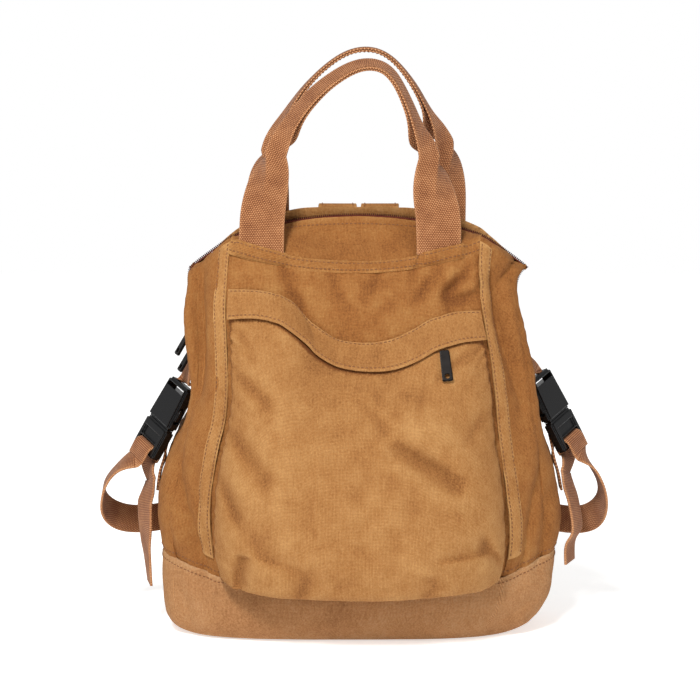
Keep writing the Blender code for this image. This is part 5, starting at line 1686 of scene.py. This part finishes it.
def row_tree():
    tree = bpy.data.node_groups.new("repeat along a line", "GeometryNodeTree")
    sockets = {"Geometry": "Geometry", "Unit": "Object", "Pitch": "Float", "Spread": "Float"}
    for name, kind in {**sockets, "Material": "Material"}.items():
        tree.interface.new_socket(name, in_out="INPUT", socket_type="NodeSocket" + kind)
    tree.interface.new_socket("Geometry", in_out="OUTPUT", socket_type="NodeSocketGeometry")
    given = add(tree, "NodeGroupInput").outputs
    curve = add(tree, "GeometryNodeMeshToCurve", {"Mesh": given["Geometry"]})
    spacing = {"Curve": curve, "Length": given["Pitch"]}
    even = add(tree, "GeometryNodeResampleCurve", spacing, mode="LENGTH")
    out = add(tree, "GeometryNodeInputNamedAttribute", {"Name": "out"}, data_type="FLOAT_VECTOR")
    axes = (add(tree, "GeometryNodeInputTangent"), out)
    turned = add(tree, "FunctionNodeAxesToRotation", axes, primary_axis="X", secondary_axis="Z")
    # Each copy is larger or smaller by a random share, up to the spread
    smallest = add(tree, MATH, (given["Spread"], -1.0), operation="MULTIPLY")
    limits = {2: smallest, 3: given["Spread"], "Seed": 7}
    chance = add(tree, "FunctionNodeRandomValue", limits, data_type="FLOAT").outputs[1]
    size = add(tree, MATH, (chance, 1.0), operation="ADD")
    copy = add(tree, "GeometryNodeObjectInfo", {"Object": given["Unit"]}).outputs["Geometry"]
    setting = {"Points": even, "Instance": copy, "Rotation": turned, "Scale": size}
    copies = add(tree, "GeometryNodeInstanceOnPoints", setting)
    real = add(tree, "GeometryNodeRealizeInstances", {"Geometry": copies})
    finish = {"Geometry": real, "Material": given["Material"]}
    add(tree, "NodeGroupOutput", (add(tree, "GeometryNodeSetMaterial", finish),))
    return tree


ROW_TREE = row_tree()


def along_lines(name, lines, unit_object, pitch, spread, material):
    """One mesh of copies along several lines, each given as points and outward directions."""
    points, edges, outs = [], [], []
    for line, out in lines:
        start = len(points)
        points += [tuple(p) for p in line]
        outs.append(np.asarray(out))
        edges += [(start + i, start + i + 1) for i in range(len(line) - 1)]
    mesh = bpy.data.meshes.new(name + "_line")
    mesh.from_pydata(points, edges, [])
    stored = mesh.attributes.new("out", "FLOAT_VECTOR", "POINT")
    stored.data.foreach_set("vector", np.concatenate(outs).ravel())
    line_object = placed(name + "_line", mesh)
    modifier = line_object.modifiers.new("repeat", "NODES")
    modifier.node_group = ROW_TREE
    values = {"Unit": unit_object, "Pitch": pitch, "Spread": spread, "Material": material}
    for item in ROW_TREE.interface.items_tree:
        if item.in_out == "INPUT" and item.name in values:
            modifier[item.identifier] = values[item.name]
    graph = bpy.context.evaluated_depsgraph_get()
    made_mesh = bpy.data.meshes.new_from_object(line_object.evaluated_get(graph))
    bpy.data.objects.remove(line_object)
    made_mesh.name = name
    print(name, len(made_mesh.polygons), "faces")
    return placed(name, made_mesh)


def main_zip():
    line, out = zip_line()
    side = np.array((0.0, ZIP_SLOT / 2 - SEAM_GAP, 0.0))
    grids = []
    for rise in (-ZIP_THICK, -2 * ZIP_THICK):
        parts = [line + side * share + out * rise for share in np.linspace(-1, 1, 7)]
        grids.append(np.stack(parts, axis=1))
    outer, inner = (grid[:, ::-1] for grid in grids)
    tape = cloth_wall("main_zip_tape", outer, inner, np.zeros(outer.shape[:2]), ZIP_WEAVE)
    finish_piece(tape, "zip_tape", "main_zip")
    one = tooth()
    # The coil is sewn on, so its loops start in the tape
    lines = [(line - out * ZIP_THICK * 0.8, out)]
    coil = along_lines("main_zip_coil", lines, one, ZIP_PITCH, 0.0, ZIP_COIL)
    finish_piece(coil, "zip_tape")
    bpy.data.objects.remove(one)


main_zip()

# %% [markdown]
# ## Buckles and zip pulls
# The side-release buckles are injection moulded in black acetal. The CAD already has their
# socket, prongs, windows and slots, so those solids stay and only get a better finish. A moulded
# edge is never sharp, so the material rounds the light at the edges. The pulls are cast metal.

# %% Plastic and metal
SMEAR_SIZE = 0.00625


def hard_material(name, color, roughness, metallic, edge):
    """A smooth hard material whose sharp edges catch the light as if rounded by edge metres."""
    made, tree, shader = new_material(name)
    body = add(tree, "ShaderNodeTexCoord").outputs["Object"]
    smear = add(tree, NOISE, {"Vector": body, "Scale": 1 / SMEAR_SIZE, "Detail": 3.0})
    limits = {0: smear, 3: roughness - 0.07, 4: roughness + 0.09}
    rough = add(tree, "ShaderNodeMapRange", limits)
    round_edge = add(tree, "ShaderNodeBevel", {"Radius": edge}, samples=6)
    feed(tree, shader, {"Roughness": rough, "Normal": round_edge})
    feed(tree, shader, {"Base Color": linear(color), "Metallic": metallic})
    return made


BUCKLE_PLASTIC = hard_material("moulded black acetal", "#0c0c0d", 0.20, 0.0, 0.0012)
PULL_METAL = hard_material("dark cast zinc", "#17120f", 0.30, 0.7, 0.0005)
for node in frame["nodes"]:
    finish = BUCKLE_PLASTIC if "buckle_socket" in node or "buckle_plug" in node else None
    finish = PULL_METAL if "pull" in node else finish
    if finish:
        for slot in bpy.data.objects[node].material_slots:
            slot.material = finish

# %% [markdown]
# ## Stitches
# Seams in canvas are lockstitched at about 3.6 mm, and each stitch pulls its ends into the cloth.
# The unit is one short bent thread of 22 faces. Its rows are dropped onto the cloth along
# the surface's normal, then the same tree as for the zip sets one stitch at every pitch.

# %% Stitch rows
STITCH_PITCH = 0.0036
STITCH_LENGTH, STITCH_WIDTH, STITCH_RISE = 0.0026, 0.00090, 0.00040
STITCH_REACH = 0.006
# Where rows lie: seams and levels from an edge, metres below the hem's top, shares of the band
FELL_INSET, RIDGE_INSET, BASE_INSET = 0.035, 0.42, 0.16
HEM_ROWS, BAND_ROWS = (0.0026, 0.0084), (0.10, 0.93)
BOX_LEVELS, BOX_HALF = (12.3, 13.05), 0.0165


def stitch():
    """One stitch: a thread that is thickest in its middle and sinks in at both ends."""
    rings = []
    for share in (-1.0, -0.6, 0.0, 0.6, 1.0):
        radius = STITCH_WIDTH / 2 * (1 - 0.45 * share**4)
        x, height = share * STITCH_LENGTH / 2, STITCH_RISE * (1 - 1.7 * share**2)
        sides = [(radius * math.cos(turn), radius * math.sin(turn) * 0.7) for turn in ROD_TURNS]
        rings.append([(x, y, height + z) for y, z in sides])
    return rod("stitch", rings)


def laid_row(trees, points, outs):
    """A row dropped onto the cloth below it: its points and the cloth's own outward normals."""
    places, normals = [], []
    for point, out in zip(points.tolist(), unit(outs).tolist()):
        point, out = Vector(point), Vector(out)
        hits = []
        for tree in trees:
            start = point + out * STITCH_REACH
            place, normal, _, distance = tree.ray_cast(start, -out, STITCH_REACH * 2)
            if place is not None:
                hits.append((distance, place, normal))
        if hits:
            _, place, normal = min(hits, key=lambda hit: hit[0])
            places.append(tuple(place))
            normals.append(tuple(normal if normal.dot(out) > 0 else -normal))
    return places, normals


def skin_row(face, across, level):
    across, level = matched(across, level)
    return cloth_skin(face, across, level), skin_normal(face, across, level)


def box_rows(x):
    """The four sides of the stitched box that holds a foot of the back handle."""
    rows = []
    for level in BOX_LEVELS:
        sides = [np.array(x + gap) for gap in (-BOX_HALF, BOX_HALF)]
        ends = [float(across_at("back", side, np.array(level))) for side in sides]
        rows.append(skin_row("back", np.linspace(*ends, 40), level))
    levels = np.linspace(*BOX_LEVELS, 40)
    for gap in (-BOX_HALF, BOX_HALF):
        rows.append(skin_row("back", across_at("back", np.full(40, x + gap), levels), levels))
    return rows


def stitch_lines():
    rows = []
    level = np.linspace(BASE_SEAM + 0.6, HEM_SEAM - 0.2, 220)
    for share in (-FELL_END + FELL_INSET, -1 - FELL_INSET, 1 + FELL_INSET, FELL_END - FELL_INSET):
        rows.append(skin_row("front", share, level))
    wide = np.linspace(-0.985, 0.985, 200)
    for drop in HEM_ROWS:
        rows.append(skin_row("front", wide, below_hem(drop)))
    for face in ("front", "back"):
        rows.append(skin_row(face, wide * 1.4, RIDGE - RIDGE_INSET))
    around = np.linspace(-2.98, 2.98, 420)
    for face in ("front", "back"):
        for inset in (BASE_INSET, -BASE_INSET):
            rows.append(skin_row(face, around, BASE_SEAM + inset))
    for share in (BACK_GRIP[0].x, BACK_GRIP[-1].x):
        rows += box_rows(HANDLE_SPAN / 2 * share)
    share = np.linspace(-0.97, 0.97, 180)
    for step in BAND_ROWS:
        places = band_points(share, step)
        rows.append((places, np.broadcast_to((0.0, -1.0, 0.25), places.shape)))
    return rows


def stitches():
    graph = bpy.context.evaluated_depsgraph_get()
    names = ("cloth", "padded", "webbing", "weave")
    sewn = [thing for thing in bpy.data.objects if thing.name.split("_")[-1] in names]
    trees = [BVHTree.FromObject(thing, graph) for thing in sewn]
    lines = [laid_row(trees, *row) for row in stitch_lines()]
    lines += SEWN_LINES
    one = stitch()
    thread, tree, shader = new_material("spun polyester thread")
    feed(tree, shader, {"Base Color": linear("#7d4f2c"), "Roughness": 0.8})
    made = along_lines("stitches", lines, one, STITCH_PITCH, 0.08, thread)
    finish_piece(made, "canvas")
    bpy.data.objects.remove(one)


stitches()

# %% [markdown]
# ## Floor and light
# A plain pale floor and a bright, even room stand for the white of the photograph. One soft lamp,
# high up and a little to the left, gives the folds their shade, and a weaker and larger one fills
# in from the right.

# %% Floor, room and lamps
FLOOR_SIDE = 6.0
FLOOR_GLOW, FLOOR_BOUNCE = 0.56, 0.34
ROOM_SEEN, ROOM_LIGHT = 1.0, 0.42
WHITE = "#ffffff"

Lamp = namedtuple("Lamp", "name place size power")
LAMPS = (
    Lamp("key_lamp", (-0.50, -1.7, 2.1), 0.5, 62.0),
    Lamp("fill_lamp", (1.8, -1.4, 0.9), 1.4, 5.0),
)


def stage():
    shaping = bmesh.new()
    bmesh.ops.create_grid(shaping, x_segments=1, y_segments=1, size=FLOOR_SIDE / 2)
    mesh = bpy.data.meshes.new("floor")
    shaping.to_mesh(mesh)
    shaping.free()
    floor = placed("floor", mesh)
    paint, tree, shader = new_material("matt white floor")
    seen = add(tree, "ShaderNodeLightPath").outputs["Is Camera Ray"]
    glow = add(tree, "ShaderNodeMapRange", {0: seen, 3: FLOOR_BOUNCE, 4: FLOOR_GLOW})
    feed(tree, shader, {"Base Color": linear("#fafaf8"), "Roughness": 0.9, "Specular IOR Level": 0.1})
    feed(tree, shader, {"Emission Color": linear(WHITE), "Emission Strength": glow})
    mesh.materials.append(paint)
    floor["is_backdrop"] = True
    room = bpy.data.worlds.new("room")
    bpy.context.scene.world = room
    room.use_nodes = True
    tree = room.node_tree
    seen = add(tree, "ShaderNodeLightPath").outputs["Is Camera Ray"]
    strength = add(tree, "ShaderNodeMapRange", {0: seen, 3: ROOM_LIGHT, 4: ROOM_SEEN})
    feed(tree, tree.nodes["Background"], {"Color": linear(WHITE), "Strength": strength})
    for lamp in LAMPS:
        light = bpy.data.lights.new(lamp.name, "AREA")
        light.size = lamp.size
        light.energy = lamp.power
        thing = placed(lamp.name, light)
        thing.location = lamp.place
        aim = VIEW_TARGET - Vector(lamp.place)
        thing.rotation_euler = aim.to_track_quat("-Z", "Y").to_euler()
    bpy.context.scene.view_settings.view_transform = "Standard"
    bpy.context.scene.view_settings.look = "None"


stage()

# %% [markdown]
# ## Sizes, and the end
# The dressed bag has to stay inside the frame's box, apart from what cloth may stand proud, so
# both boxes are written down to be compared.

# %% Sizes
seen_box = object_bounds()
for axis, low, high, seen_low, seen_high in zip("xyz", *cad_box, *seen_box):
    print(axis, "frame", round(low, 4), round(high, 4), "dressed", round(seen_low, 4), round(seen_high, 4))
